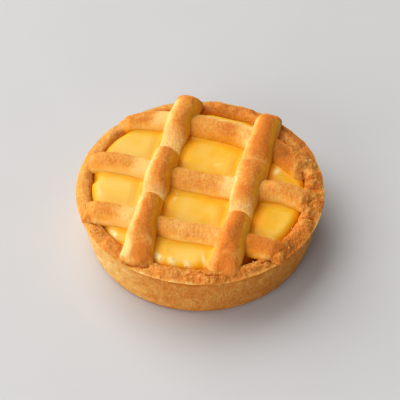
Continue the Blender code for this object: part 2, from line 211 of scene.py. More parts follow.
# A strip's surface: points, normals, places along it, angles round it, height of the crown, distance to the
# nearer end, and how far a point lies in an end that melts into the rim
Skin = namedtuple("Skin", "points normal s around crown reach melting")
ACROSS_UNDERSIDE = 17.6 * MM
ALONG_UNDERSIDE = 18.4 * MM
ACROSS = (
    Strip("lattice_back", ACROSS_UNDERSIDE, 0.54, (0.0, 0.8), (1.0, 1.0), (39.0 * MM, 30.0 * MM), (
        (-27.5, 26.6, 21.0, 4.4), (-18.5, 28.6, 22.0, 7.8), (-6.5, 27.6, 22.2, 9.2), (4.5, 25.0, 22.0, 9.4),
        (15.5, 21.0, 22.2, 9.4), (26.5, 13.8, 21.8, 9.4), (35.6, 4.6, 20.8, 9.4),
    )),
    Strip("lattice_middle", ACROSS_UNDERSIDE, 0.34, (0.0, 0.0), (0.5, 0.85), (37.0 * MM, 31.6 * MM), (
        (-37.9, 9.0, 21.8, 8.0), (-26.0, 7.9, 22.8, 8.4), (-13.5, 3.9, 22.0, 8.2),
        (-0.5, 0.7, 21.2, 9.2), (12.0, -2.4, 21.6, 9.2), (25.0, -3.8, 22.2, 8.6), (37.0, -8.9, 21.2, 8.6),
    )),
    Strip("lattice_front", ACROSS_UNDERSIDE, 0.28, (0.0, 0.0), (0.6, 0.6), (36.5 * MM, 36.0 * MM), (
        (-36.9, -12.2, 21.6, 8.0), (-26.8, -13.6, 22.6, 8.6), (-16.0, -16.8, 22.0, 8.0),
        (-4.5, -20.0, 21.2, 7.6), (6.5, -22.4, 21.4, 7.6), (16.6, -25.8, 21.8, 8.0), (26.5, -28.3, 20.8, 7.8),
    )),
)
ALONG = (
    Strip("lattice_left", ALONG_UNDERSIDE, 0.60, (0.38, 0.0), (0.8, 0.0), (36.8 * MM, 42.0 * MM), (
        (-19.2, -32.9, 21.2, 10.0), (-17.7, -21.6, 21.4, 9.0), (-15.6, -9.8, 20.4, 7.9),
        (-13.2, 2.4, 20.6, 8.9), (-10.2, 14.6, 20.4, 7.9), (-6.9, 26.9, 21.8, 9.2), (-3.2, 39.0, 22.8, 9.4),
    )),
    Strip("lattice_right", ALONG_UNDERSIDE, 0.74, (0.07, 0.0), (0.8, 0.2), (36.6 * MM, 42.0 * MM), (
        (6.4, -36.9, 21.0, 9.8), (9.4, -26.0, 21.4, 9.2), (12.4, -14.3, 20.4, 7.9), (14.8, -2.8, 21.4, 9.3),
        (17.9, 8.6, 22.0, 9.7), (21.2, 20.0, 22.2, 9.2), (23.7, 30.9, 22.0, 8.8),
    )),
)
END_ROUNDING = 1.5 * MM
# The front ends of the strips along are rounder in plan
FOOT_ROUNDING = 2.8 * MM
MELT_REACH = 5.0 * MM
MELT_COVER = 0.9 * MM
MELT_SPREAD = 0.16
WIDEST_AT = 0.20
SECTION_POWER = 0.96
UNDERSIDE_POWER = 0.6
STRIP_WOBBLE = 0.35 * MM
GRAIN_SIZE = 0.75 * MM
END_LUMP_SIZE = 2.4 * MM
END_LUMP_HEIGHT = 0.42 * MM
WOBBLE_SIZE = 8.0 * MM
STRIP_STATIONS = 430
STRIP_END_STATIONS = 14
STRIP_SIDES = 88
LINE_SAMPLES = 240
DOUGH_COLOURS = ("Pale", "Golden", "Brown", "Dark", "Stain", "Speck", "Fleck")
# How strongly a dough's noise changes its toasting, how strong its specks are, and its bump
CRUST_TEXTURE = (0.62, 0.80, 1.00)
LATTICE_TEXTURE = (0.50, 0.32, 0.60)
CRUMB_TEXTURE = (0.30, 0.40, 0.50)

# How a strip is toasted: its sides, more on top, blotches, how far a free end is brown, and how brown
ALONG_TOAST = (0.14, 0.04, 0.08, 3.7 * MM, 0.82)
ACROSS_TOAST = (0.05, 0.17, 0.15, 0.0, 0.95)
TIP_FADE = 2.4 * MM
# Noise in the toasting: size, seed and strength, at the edges of the brown band and in the blotches
RAGGED_CLOUDS = ((1.8 * MM, 34, 0.08), (5.0 * MM, 33, 0.08))
BLOTCH_CLOUDS = ((4.0 * MM, 35, 1.0), (1.7 * MM, 39, 0.8))
# For each strip along: how pale its left side is, as painted light on the side the light falls on, and how
# pale the dough under it is to its left
LIT_PALE_LEFT = (1.0, 0.55)
PALED_BY = (1.0, 0.3)
PALED_TOAST = 0.34
# Painted shadow that a strip along casts on the strip across to its right
BESIDE_SHADE = 0.38
# A painted highlight on the rim by the middle strip: x, y, reach and how much less toasted
RIM_HIGHLIGHT = (33.4 * MM, 7.0 * MM, 2.4 * MM, 0.30)
# Where a strip is toasted more, or less: x, y and reach, in millimetres, and by how much. Painted shade at
# 17.2, -26.8, where the front strip lies in the right strip's shade, and a painted highlight at 33.4, 7.0
STRIP_TOAST_SHADE_AND_HIGHLIGHT = (
    (27.0, -27.6, 4.2, 0.95), (17.2, -26.8, 4.6, 0.50), (28.2, 12.4, 6.0, 0.60), (33.4, 7.0, 3.6, -0.65),
    (26.0, -7.0, 6.0, 0.10), (-29.0, -13.4, 6.0, 0.14), (-28.0, 8.2, 6.0, 0.02), (5.0, 25.0, 6.0, -0.12),
    (-10.0, 1.6, 3.0, 0.16), (13.8, -2.0, 5.5, -0.26), (8.4, -23.0, 6.5, 0.30), (5.8, -33.6, 4.6, 0.22),
    (-18.4, -25.0, 6.0, 0.14), (-17.0, -30.6, 3.2, 0.26), (5.4, -36.4, 2.4, 0.25), (-4.5, -20.0, 6.0, -0.10),
    (-6.0, 29.0, 8.0, -0.08), (-12.8, 3.6, 5.0, -0.08),
)
DRAPE_COVER = 2.7 * MM
DRAPE_HOLD_BACK = 7.6 * MM
DRAPE_FALL_BACK = 2.0 * MM
# Right of these places, the strip along comes down gently behind the middle strip
DRAPE_GENTLE_FROM, DRAPE_GENTLE_TO = 4.0 * MM, 10.0 * MM
DRAPE_GENTLE_FALL = 6.5 * MM
DRAPE_GENTLE_SHORTER = 2.0 * MM
DRAPE_HOLD_FRONT = 4.5 * MM
DRAPE_FALL_FRONT = 5.0 * MM

# Shader values: how light spreads under each surface, and how strongly it shines
DOUGH_LOOK = {"Subsurface Weight": 0.45, "Subsurface Radius": (2.2, 1.0, 0.2), "Subsurface Scale": 1.0 * MM,
              "Specular IOR Level": 0.07}
CUSTARD_LOOK = {"Subsurface Weight": 0.50, "Subsurface Radius": (3.0, 1.7, 0.3), "Subsurface Scale": 1.0 * MM,
                "Specular IOR Level": 0.12}
FLOOR_LOOK = {"Roughness": 0.7, "Specular IOR Level": 0.2}

# Camera: fitted to the photograph, whose frame is 400 pixels square
CAMERA_ELEVATION = math.radians(48.24)
CAMERA_DISTANCE = 320.0 * MM
CAMERA_LENS = 87.94
CAMERA_ROLL = math.radians(0.36)
CAMERA_AIM = (-0.02 * MM, 0.55 * MM, 10.49 * MM)

# Lights: place in metres, side in metres, power in watts and colour
LIGHTS = {
    "key": ((-1.32, 1.00, 1.84), 3.00, 96.0, (0.99, 0.985, 0.965)),
    "fill": ((-0.78, -0.78, 0.32), 0.9, 9.8, (1.0, 0.99, 0.985)),
}
LIGHTS_AIM = (0.0, 0.0, 12.0 * MM)
SKY_COLOUR = (1.0, 0.985, 0.97, 1.0)
SKY_STRENGTH = 0.25
FLOOR_REACH = 1.5

# How many points are compared with a strip's centre line at once
CHUNK = 20000


class CrostataSizes(bpy.types.PropertyGroup):
    """Sizes that a user may change."""

    crumb_height: FloatProperty(
        name="Crumb height", description="Height of the crumbs that roughen the rim",
        default=0.34 * MM, min=0.0, unit="LENGTH")
    grain_height: FloatProperty(
        name="Grain height", description="Height of the fine grain on the strips",
        default=0.16 * MM, min=0.0, unit="LENGTH")
    pore_depth: FloatProperty(
        name="Pore depth", description="Depth of the small pores in the outer wall",
        default=0.16 * MM, min=0.0, unit="LENGTH")
    bubble_scale: FloatProperty(
        name="Bubble scale", description="Size of the bubbles in the custard, 1 as in the tart at hand",
        default=1.0, min=0.1, max=2.0, subtype="FACTOR")
    crumb_count: IntProperty(
        name="Loose crumbs", description="How many loose crumbs lie on the rim",
        default=CRUMB_COUNT, min=0, max=1200)


class CrostataColours(bpy.types.PropertyGroup):
    """Colours that a user may change, in linear light."""

    pale: FloatVectorProperty(
        name="Pale dough", description="Dough that the oven has hardly coloured",
        subtype="COLOR", default=(0.89, 0.57, 0.205), min=0.0, max=1.0)
    golden: FloatVectorProperty(
        name="Golden dough", description="Dough baked to gold",
        subtype="COLOR", default=(0.78, 0.350, 0.068), min=0.0, max=1.0)
    brown: FloatVectorProperty(
        name="Brown dough", description="Dough toasted brown on the crowns",
        subtype="COLOR", default=(0.63, 0.178, 0.019), min=0.0, max=1.0)
    dark: FloatVectorProperty(
        name="Dark dough", description="Dough in cracks and at burnt edges",
        subtype="COLOR", default=(0.34, 0.095, 0.012), min=0.0, max=1.0)
    # The egg stain also paints warm shade on the strips' shaded flanks
    stain: FloatVectorProperty(
        name="Egg stain", description="Dough that the custard has stained",
        subtype="COLOR", default=(1.0, 0.43, 0.006), min=0.0, max=1.0)
    custard: FloatVectorProperty(
        name="Custard", description="Set egg custard",
        subtype="COLOR", default=(0.82, 0.520, 0.105), min=0.0, max=1.0)
    # The golden and deep custard colours also paint shade beside the strips and against the crust's wall
    custard_golden_and_shade: FloatVectorProperty(
        name="Golden custard", description="Custard beside the strips",
        subtype="COLOR", default=(0.82, 0.415, 0.012), min=0.0, max=1.0)
    custard_deep_and_shade: FloatVectorProperty(
        name="Deep custard", description="Custard where it lies thick or is touched by the crust",
        subtype="COLOR", default=(0.86, 0.305, 0.001), min=0.0, max=1.0)
    # Dark custard in the hollows: partly baked brown, partly painted shade
    scorched: FloatVectorProperty(
        name="Scorched custard", description="Custard baked brown in the hollows",
        subtype="COLOR", default=(0.40, 0.095, 0.006), min=0.0, max=1.0)
    # The foam colour is partly a painted highlight on the custard's foam and bubbles
    foam: FloatVectorProperty(
        name="Foam", description="Pale wet foam on the custard",
        subtype="COLOR", default=(1.0, 0.77, 0.38), min=0.0, max=1.0)
    speck: FloatVectorProperty(
        name="Specks", description="Dark specks in the dough",
        subtype="COLOR", default=(0.44, 0.125, 0.018), min=0.0, max=1.0)
    fleck: FloatVectorProperty(
        name="Flecks", description="Light flecks in the dough",
        subtype="COLOR", default=(1.0, 0.66, 0.26), min=0.0, max=1.0)
    floor: FloatVectorProperty(
        name="Floor", description="The pale surface under the tart",
        subtype="COLOR", default=(0.55, 0.545, 0.55), min=0.0, max=1.0)


def ease(x):
    """A smooth step from 0 at x = 0 to 1 at x = 1: three x squared less two x cubed."""
    x = np.clip(x, 0.0, 1.0)
    return x * x * (3.0 - 2.0 * x)


def gradient_noise(points, cell, seed):
    """Smooth noise of about -1 to 1: random slopes on a grid of cells, blended between the eight corners."""
    rng = np.random.default_rng(seed)
    table = rng.permutation(256)
    slopes = rng.normal(size=(256, 3))
    slopes /= np.linalg.norm(slopes, axis=1, keepdims=True)
    scaled = np.asarray(points) / cell
    corner = np.floor(scaled).astype(int)
    inside = scaled - corner
    blend = inside**3 * (inside * (inside * 6.0 - 15.0) + 10.0)
    total = np.zeros(scaled.shape[:-1])
    for offset in np.ndindex(2, 2, 2):
        x, y, z = ((corner[..., k] + offset[k]) & 255 for k in range(3))
        slope = slopes[table[(table[(table[x] + y) & 255] + z) & 255]]
        weight = np.prod(np.where(offset, blend, 1.0 - blend), axis=-1)
        total += weight * ((inside - np.array(offset)) * slope).sum(-1)
    return total * 1.6


def grains(points, cell, seed):
    """Rounded grains with creases between them: one seed point in each cell, and 1 less the distance to the
    nearest seed of the 27 cells around. Also gives a random number for each grain."""
    rng = np.random.default_rng(seed)
    table = rng.permutation(256)
    jitter = rng.random((256, 3))
    scaled = np.asarray(points) / cell
    corner = np.floor(scaled).astype(int)
    nearest = np.full(scaled.shape[:-1], 9.0)
    lot = np.zeros(scaled.shape[:-1])
    for offset in np.ndindex(3, 3, 3):
        at = corner + np.array(offset) - 1
        x, y, z = (at[..., k] & 255 for k in range(3))
        pick = table[(table[(table[x] + y) & 255] + z) & 255]
        distance = np.linalg.norm(scaled - at - jitter[pick], axis=-1)
        closer = distance < nearest
        nearest = np.where(closer, distance, nearest)
        lot = np.where(closer, pick / 255.0, lot)
    return 1.0 - nearest, lot


def between_rows(rows, k, t):
    """Values t of the way from row k + 1 to row k + 2, on a smooth curve through four rows (Catmull-Rom)."""
    a, b, c, d = (rows[k + i] for i in range(4))
    return b + 0.5 * t * (c - a + t * (2 * a - 5 * b + 4 * c - d + t * (3 * (b - c) + d - a)))


def along_line(strip, s):
    """Centre line of a strip at places s from 0 to 1: x, y, crown height and width, a smooth curve through
    the strip's own points."""
    values = np.array(strip.line) * MM
    padded = np.concatenate([2 * values[:1] - values[1:2], values, 2 * values[-1:] - values[-2:-1]])
    place = np.clip(s, 0.0, 1.0) * (len(values) - 1)
    k = np.minimum(place.astype(int), len(values) - 2)
    return between_rows(padded, k, (place - k)[..., None])


def line_length(strip):
    points = along_line(strip, np.linspace(0.0, 1.0, LINE_SAMPLES))[:, :2]
    return np.linalg.norm(np.diff(points, axis=0), axis=1).sum()


def unit_normal(strip, s):
    """Unit vector in plan to the left of a strip's centre line."""
    step = 0.5 / LINE_SAMPLES
    tangent = (along_line(strip, s + step) - along_line(strip, s - step))[..., :2]
    tangent /= np.linalg.norm(tangent, axis=-1, keepdims=True)
    return np.stack([-tangent[..., 1], tangent[..., 0]], -1)


def nearest_on_line(strip, x, y):
    """Place along a strip of the nearest point of its centre line, the distance to the left of it, and how
    far the point lies beyond the strip's nearer end."""
    samples = np.linspace(0.0, 1.0, LINE_SAMPLES)
    line = along_line(strip, samples)[:, :2]
    normals = unit_normal(strip, samples)
    step = line_length(strip) / (LINE_SAMPLES - 1)
    flat = np.stack([np.ravel(x), np.ravel(y)], -1)
    place, aside, beyond = (np.empty(len(flat)) for _ in range(3))
    for start in range(0, len(flat), CHUNK):
        part = slice(start, start + CHUNK)
        away = flat[part, None] - line
        pick = np.argmin((away**2).sum(-1), axis=-1)
        offset = away[np.arange(len(pick)), pick]
        normal = normals[pick]
        aside[part] = (offset * normal).sum(-1)
        forward = offset[:, 0] * normal[:, 1] - offset[:, 1] * normal[:, 0]
        outward = np.where(pick == 0, -forward, np.where(pick == LINE_SAMPLES - 1, forward, 0.0))
        beyond[part] = np.maximum(outward, 0.0)
        place[part] = np.clip(samples[pick] + forward / step / (LINE_SAMPLES - 1), 0.0, 1.0)
    shape = np.shape(x)
    return place.reshape(shape), aside.reshape(shape), beyond.reshape(shape)


def draped(x, y, crown):
    """Crown height of a strip along, raised over each strip across that it crosses."""
    raised = crown
    for lower in ACROSS:
        place, aside, _ = nearest_on_line(lower, x, y)
        gentle = 0.0
        if lower.name == "lattice_middle":
            gentle = ease((x - DRAPE_GENTLE_FROM) / (DRAPE_GENTLE_TO - DRAPE_GENTLE_FROM))
        fall = DRAPE_FALL_BACK + (DRAPE_GENTLE_FALL - DRAPE_FALL_BACK) * gentle
        back = ease((DRAPE_HOLD_BACK - DRAPE_GENTLE_SHORTER * gentle + fall - aside) / fall)
        front = ease((DRAPE_HOLD_FRONT + DRAPE_FALL_FRONT + aside) / DRAPE_FALL_FRONT)
        over = along_line(lower, place)[..., 2] + DRAPE_COVER
        raised = np.maximum(raised, crown + (over - crown) * back * front)
    return raised


def strip_stations(strip):
    """Places along a strip: even ones, and ones that crowd into the round ends."""
    length = line_length(strip)
    turn = np.linspace(0.12, math.pi / 2.0, STRIP_END_STATIONS)
    end = END_ROUNDING * (1.0 - np.cos(turn)) / length
    middle = np.linspace(end[-1], 1.0 - end[-1], STRIP_STATIONS)[1:-1]
    return np.concatenate([end, middle, 1.0 - end[::-1]])


def strip_surface(strip, s, around):
    """Points of a strip for places along it and angles round it: a section that is round above and flatter
    below, carried along the centre line, sunk towards the rim where an end melts into it, and shrunk to a round
    end, rounder in plan at a front foot. Also gives the crown height and the distance to the nearer end."""
    length = line_length(strip)
    reach = np.minimum(s, 1.0 - s) * length
    melt = np.where(s < 0.5, *strip.melts) * (1.0 - ease(reach / MELT_REACH))
    close = np.sqrt(1.0 - (1.0 - np.clip(reach / END_ROUNDING, 0.0, 1.0)) ** 2)
    centre = along_line(strip, s)
    normal = unit_normal(strip, s)
    crown = centre[..., 2]
    if strip in ALONG:
        line = along_line(strip, s[:, 0])
        crown = np.broadcast_to(draped(line[:, 0], line[:, 1], line[:, 2])[:, None], s.shape)
    sunk = max(RIM_HEIGHT - 0.3 * MM, strip.underside + MELT_COVER)
    crown = crown + (sunk - crown) * melt
    across, up = np.cos(around), np.sin(around)
    side = np.sign(across) * np.abs(across) ** SECTION_POWER
    above = WIDEST_AT + (1.0 - WIDEST_AT) * np.abs(up) ** SECTION_POWER
    below = WIDEST_AT * (1.0 - np.abs(up) ** UNDERSIDE_POWER)
    rise = np.where(up > 0.0, above, below)
    wobble_at = np.stack([centre[..., 0], centre[..., 1], side * centre[..., 3]], -1)
    wobble = gradient_noise(wobble_at, WOBBLE_SIZE, len(strip.name)) * STRIP_WOBBLE
    rounding = np.where(s < 0.5, FOOT_ROUNDING, END_ROUNDING) if strip in ALONG else END_ROUNDING
    narrowing = np.sqrt(1.0 - (1.0 - np.clip(reach / rounding, 0.0, 1.0)) ** 2)
    half = (centre[..., 3] / 2.0 * (1.0 + MELT_SPREAD * melt) + wobble) * narrowing
    plan = centre[..., :2] + normal * (side * half)[..., None]
    thickness = crown - strip.underside
    height = WIDEST_AT + (rise - WIDEST_AT) * close
    z = strip.underside + thickness * height + wobble * 0.5 * close
    return np.stack([plan[..., 0], plan[..., 1], z], -1), crown, reach


def grid_normals(points, wrapped):
    """Unit normals of a grid of points: the cross product of its steps along the second and the first
    direction. wrapped says that the second direction closes on itself."""
    if wrapped:
        across = np.roll(points, -1, axis=1) - np.roll(points, 1, axis=1)
    else:
        across = np.gradient(points, axis=1)
    along = np.gradient(points, axis=0)
    normal = np.cross(across, along)
    return normal / np.maximum(np.linalg.norm(normal, axis=-1, keepdims=True), 1e-12)


def tube_faces(count, sides):
    """Quads of a tube of count rings of sides points, and triangles that close each end on its own point."""
    ring, spoke = np.meshgrid(np.arange(count - 1), np.arange(sides), indexing="ij")
    after = (spoke + 1) % sides
    a, b = 1 + ring * sides, 1 + (ring + 1) * sides
    quads = np.stack([a + spoke, a + after, b + after, b + spoke], -1).reshape(-1, 4)
    spoke, after = np.arange(sides), (np.arange(sides) + 1) % sides
    last = 1 + (count - 1) * sides
    first_fan = np.stack([np.zeros(sides, int), 1 + after, 1 + spoke], -1)
    last_fan = np.stack([last + spoke, last + after, np.full(sides, 1 + count * sides)], -1)
    return quads.tolist() + first_fan.tolist() + last_fan.tolist()


def add_piece(name, points, faces, material, attributes):
    """A smooth mesh object from arrays, with one float attribute for each entry of attributes."""
    mesh = bpy.data.meshes.new(name)
    mesh.from_pydata(points.tolist(), [], faces)
    for key, values in attributes.items():
        layer = mesh.attributes.new(key, "FLOAT", "POINT")
        layer.data.foreach_set("value", np.ascontiguousarray(values, dtype=np.float32))
    mesh.shade_smooth()
    mesh.materials.append(material)
    obj = bpy.data.objects.new(name, mesh)
    bpy.context.scene.collection.objects.link(obj)
    return obj


def tube_piece(name, rings, material, attributes):
    """A tube of rings closed at both ends, with attributes given as grids like rings."""
    points = np.concatenate([rings[0].mean(0)[None], rings.reshape(-1, 3), rings[-1].mean(0)[None]])
    columns = {}
    for key, grid in attributes.items():
        columns[key] = np.concatenate([[grid[0].mean()], grid.ravel(), [grid[-1].mean()]])
    return add_piece(name, points, tube_faces(*rings.shape[:2]), material, columns)


def inner_edge(angle):
    """Radius of the rim's inner edge: the rim is wider on the right and in front, fills the corner behind the
    end of the back strip, and draws back at the hollow in front."""
    turn = (np.asarray(angle) + np.pi) % (2.0 * np.pi) - np.pi
    fill = sum(much * np.exp(-((np.degrees(turn) - at) / reach) ** 2) for at, reach, much in RIM_FILLS)
    return RIM_INNER_RADIUS - RIM_WIDER_RIGHT * np.cos(angle) + RIM_WIDER_FRONT * np.sin(angle) - fill


def wall_radius(height):
    return BASE_RADIUS + (SEAM_RADIUS - BASE_RADIUS) * height / SEAM_HEIGHT


def shell_profile(angle):
    """Radius, height, share of crags and share of waves down the shell's section, from the underside out and
    over the rim to the floor inside."""
    inner = inner_edge(angle)
    rows = [(wall_radius(0.0) - 5.0 * MM, 0.0, 0.0, 0.0)]
    for turn in (-math.pi / 2.0, -math.pi / 4.0, 0.0):
        out, up = BASE_EDGE * (1.0 - math.cos(turn)), BASE_EDGE * (1.0 + math.sin(turn))
        rows.append((wall_radius(BASE_EDGE) - out, up, 0.0, 0.0))
    for share in (0.25, 0.4, 0.55, 0.7, 0.85):
        rows.append((wall_radius(SEAM_HEIGHT * share), SEAM_HEIGHT * share, 0.1, 1.0))
    rows.append((SEAM_RADIUS - 0.25 * MM, SEAM_HEIGHT - 0.35 * MM, 0.2, 1.0))
    rows.append((LIP_RADIUS, SEAM_HEIGHT + 0.25 * MM, 0.3, 0.5))
    top_outer = LIP_RADIUS - 0.45 * MM
    rows.append((top_outer, RIM_HEIGHT - 0.95 * MM, 0.7, 0.5))
    for share, drop in ((0.2, 0.40), (0.4, 0.05), (0.6, 0.0), (0.8, 0.25), (1.0, 1.0)):
        rows.append((top_outer - (top_outer - inner) * share, RIM_HEIGHT - drop * MM, 1.0 - 0.3 * drop, 0.0))
    rows.append((inner - 0.45 * INNER_WALL_LEAN, RIM_HEIGHT - 2.6 * MM, 0.3, 0.0))
    rows.append((inner - INNER_WALL_LEAN, RIM_HEIGHT - 5.2 * MM, 0.0, 0.0))
    rows.append((inner - 2.0 * INNER_WALL_LEAN, RIM_HEIGHT - 10.0 * MM, 0.0, 0.0))
    rows.append((FLOOR_RADIUS, FLOOR_THICKNESS, 0.0, 0.0))
    return rows


def through_rows(rows, where):
    """A smooth curve through rows of values, at fractional row numbers."""
    padded = np.concatenate([rows[:1], rows, rows[-1:]])
    k = np.minimum(where.astype(int), len(rows) - 2)
    return between_rows(padded, k, (where - k)[:, None, None])


def crack_share(x, y, width):
    """How near a point lies to a crack, in plan: 1 on it, fading over width (a Gaussian of the distance to
    the nearest stretch of the broken lines)."""
    nearest = np.full(np.shape(x), 1.0)
    for crack in CRACKS:
        line = np.array(crack) * MM
        for start, step in zip(line[:-1], np.diff(line, axis=0)):
            along = np.clip(((x - start[0]) * step[0] + (y - start[1]) * step[1]) / (step @ step), 0.0, 1.0)
            away = np.hypot(x - start[0] - along * step[0], y - start[1] - along * step[1])
            nearest = np.minimum(nearest, away)
    return np.exp(-(nearest / width) ** 2)


def crumbs(points, seed):
    """Crumbly relief of about -1 to 1, and how deep each point lies in a crease, 0 to 1: grains of three
    sizes, each grain lifted by its own random step."""
    bent = points + 0.35 * MM * gradient_noise(points, 1.9 * MM, seed)[..., None]
    large, large_lot = grains(bent, 2.3 * MM, seed + 1)
    middle, middle_lot = grains(bent, 1.15 * MM, seed + 2)
    small, small_lot = grains(points, 0.62 * MM, seed + 3)
    relief = (large_lot - 0.5) * 0.75 + (large - 0.6) * 0.9 + (middle_lot - 0.5) * 0.7 + (middle - 0.6) * 0.8
    relief = relief + (small_lot - 0.5) * 0.35 + (small - 0.6) * 0.45
    crease = 0.6 * ease((0.58 - large) / 0.25) + 0.4 * ease((0.6 - middle) / 0.25)
    return relief, np.clip(crease + 0.8 * np.maximum(0.0, -relief), 0.0, 1.0)


def shell_rings(sizes):
    """Rings of the shell with relief: crags, crumbs and cracks on the rim, a ridge with a groove under it at
    the seam, waves and pores on the wall. Also, for each point, the shares that its toasting and its painted
    shade and highlight are worked out from, and the direction of each spoke."""
    angles = np.linspace(0.0, 2.0 * np.pi, SHELL_DIVISIONS, endpoint=False)
    rows = np.array([[np.broadcast_to(v, angles.shape) for v in row] for row in shell_profile(angles)])
    starts = [row for row, _ in SHELL_SPACING] + [len(rows) - 1.001]
    spans = [np.linspace(starts[k], starts[k + 1], count, endpoint=False) for k, (_, count) in
             enumerate(SHELL_SPACING)]
    where = np.concatenate([*spans, starts[-1:]])
    radius, height, cragged, wavy = through_rows(rows.transpose(0, 2, 1), where).transpose(2, 0, 1)
    cragged, wavy = np.clip(cragged, 0.0, 1.0), np.clip(wavy, 0.0, 1.0)
    points = np.stack([radius * np.cos(angles), radius * np.sin(angles), height], -1)
    fine_crag = gradient_noise(points, FINE_CRAG_SIZE, 4) * FINE_CRAG_SHARE
    crag = (gradient_noise(points, CRAG_SIZE, 3) + fine_crag) * cragged
    wave = gradient_noise(points, WAVE_SIZE, 5) * wavy
    radius = radius + crag * CRAG_HEIGHT * 0.4 + wave * WAVE_HEIGHT * 0.5
    rise = sum(high * MM * bell(points[..., 0], points[..., 1], (x * MM, y * MM), reach * MM * 0.7)
               for x, y, reach, high in RIM_RISES)
    height = height + crag * CRAG_HEIGHT + rise * cragged
    turn = (angles + np.pi) % (2.0 * np.pi) - np.pi
    plain = sum((share * ease((np.radians(reach) - np.abs(turn - math.radians(at))) / math.radians(6.0))
                 for at, reach, share in RIDGE_PLACES), np.full(turn.shape, 0.15))
    plain = np.clip(plain + 0.25 * gradient_noise(points, 4.0 * MM, 12), 0.0, 1.1)
    ridge = np.exp(-((where[:, None] - RIDGE_ROW) / RIDGE_SPREAD) ** 2) * plain
    groove = np.exp(-((where[:, None] - GROOVE_ROW) / GROOVE_SPREAD) ** 2) * plain
    radius = radius + RIDGE_HEIGHT * ridge - GROOVE_DEPTH * groove
    height = height + 0.6 * RIDGE_HEIGHT * ridge
    rings = np.stack([radius * np.cos(angles), radius * np.sin(angles), height], -1)
    normal = grid_normals(rings, True)
    crumbly = ease(cragged * 1.3 - 0.1)
    relief, crease = crumbs(points, 40)
    roughest = sum((share * np.exp(-((turn - math.radians(at)) / math.radians(reach)) ** 2)
                    for at, reach, share in ROUGH_PLACES), np.full(turn.shape, 0.16))
    relief = crumbly * sizes.crumb_height * roughest * relief * (1.0 - 0.7 * ridge)
    crease = crease * np.clip(roughest, 0.0, 1.0)
    crack = crack_share(rings[..., 0], rings[..., 1], CRACK_WIDTH) * crumbly
    relief = relief - CRACK_DEPTH * crack
    stretched = points * np.array([1.0, 1.0, 1.6])
    pores, lot_of_pore = grains(stretched, 1.5 * MM, 9)
    pore = ease((pores - 0.70) / 0.2) * ease((lot_of_pore - 0.5) / 0.2)
    walled = wavy * (1.0 - crumbly)
    relief = relief - walled * sizes.pore_depth * pore
    relief = relief + walled * MM * (0.11 * gradient_noise(stretched, 0.9 * MM, 10)
                                     + 0.12 * gradient_noise(stretched, 2.4 * MM, 11))
    rings = rings + normal * relief[..., None]
    rings[..., 2] = np.maximum(rings[..., 2], 0.0)
    shares = {"crumbly": crumbly, "ridge": ridge, "groove": groove, "pore": pore * walled,
              "crease": np.maximum(crease, crack) * crumbly}
    return rings, shares, radius, angles


def near_direction(degrees, at, reach):
    """1 in the direction at, easing to 0 at reach degrees to either side of it."""
    return ease(1.0 - np.abs(degrees - at) / reach)


def clouds(points, table):
    """Noise of several sizes, added up, each with its own strength."""
    return sum(strength * gradient_noise(points, size, seed) for size, seed, strength in table)


def shell_toast(rings, shares, radius, angles):
    """How far the shell is toasted, with painted shade and light in it: more in creases, pores and the groove,
    as painted shade, and at the foot; less on the ridge, as a painted highlight, and on the left of the wall, as
    painted light; more on the right of the wall and of the rim, partly as painted shade; and more where the
    rim's own tables say."""
    degrees = (np.degrees(angles) + 180.0) % 360.0 - 180.0
    x, y, z = rings[..., 0], rings[..., 1], rings[..., 2]
    at, reach, more = RIM_BROWN_CORNER
    rim = more * near_direction(degrees, at, reach) * ease((radius - 36.0 * MM) / (2.0 * MM))
    end_x, end_y, reach, more = RIM_BROWN_END
    # The rim darker to the right, partly painted shade
    rim = rim + more * bell(x, y, (end_x, end_y), reach) + RIM_TOAST_AND_SHADE_RIGHT * ease(np.cos(angles)) - 0.02
    rim = rim + sum(more * near_direction(degrees, at, reach) for at, reach, more in RIM_TOAST)
    # Painted light on the left of the wall and painted shade towards its front right
    wall = clouds(rings, WALL_CLOUDS) - WALL_LIGHT_LEFT * ease((-np.cos(angles) - 0.35) / 0.4)
    wall = wall + WALL_SHADE_RIGHT * ease(np.cos(np.radians(degrees + 40.0)) + 0.3)
    toast = CRUST_TOAST + clouds(rings, SHELL_CLOUDS)
    toast = toast + shares["crumbly"] * rim + (1.0 - shares["crumbly"]) * wall
    # Painted shade in creases, cracks, the groove and pores, and a painted highlight on the ridge
    toast = toast + sum(more * shares[key] for key, more in DETAIL_SHADE_AND_HIGHLIGHT.items())
    return toast + FOOT_TOAST * ease(1.0 - z / FOOT_HEIGHT)


def bell(x, y, place, reach):
    """A round hill of height 1 that fades with distance from place (a Gaussian)."""
    return np.exp(-((x - place[0]) ** 2 + (y - place[1]) ** 2) / (2.0 * reach**2))


def long_hill(x, y, at_x, at_y, long, wide, turn):
    """A hill of height 1, long one way and wide the other, turned in plan: a Gaussian along and across."""
    cos, sin = math.cos(math.radians(turn)), math.sin(math.radians(turn))
    away_x, away_y = x / MM - at_x, y / MM - at_y
    along, across = away_x * cos + away_y * sin, away_y * cos - away_x * sin
    return np.exp(-((along / long) ** 2) - (across / wide) ** 2)


def foam_and_highlight_share(x, y):
    """How much wet foam lies at a point, pale partly as a painted highlight: the largest of its long hills."""
    return np.max([most * long_hill(x, y, *place) for *place, most in FOAM_AND_HIGHLIGHT], axis=0)


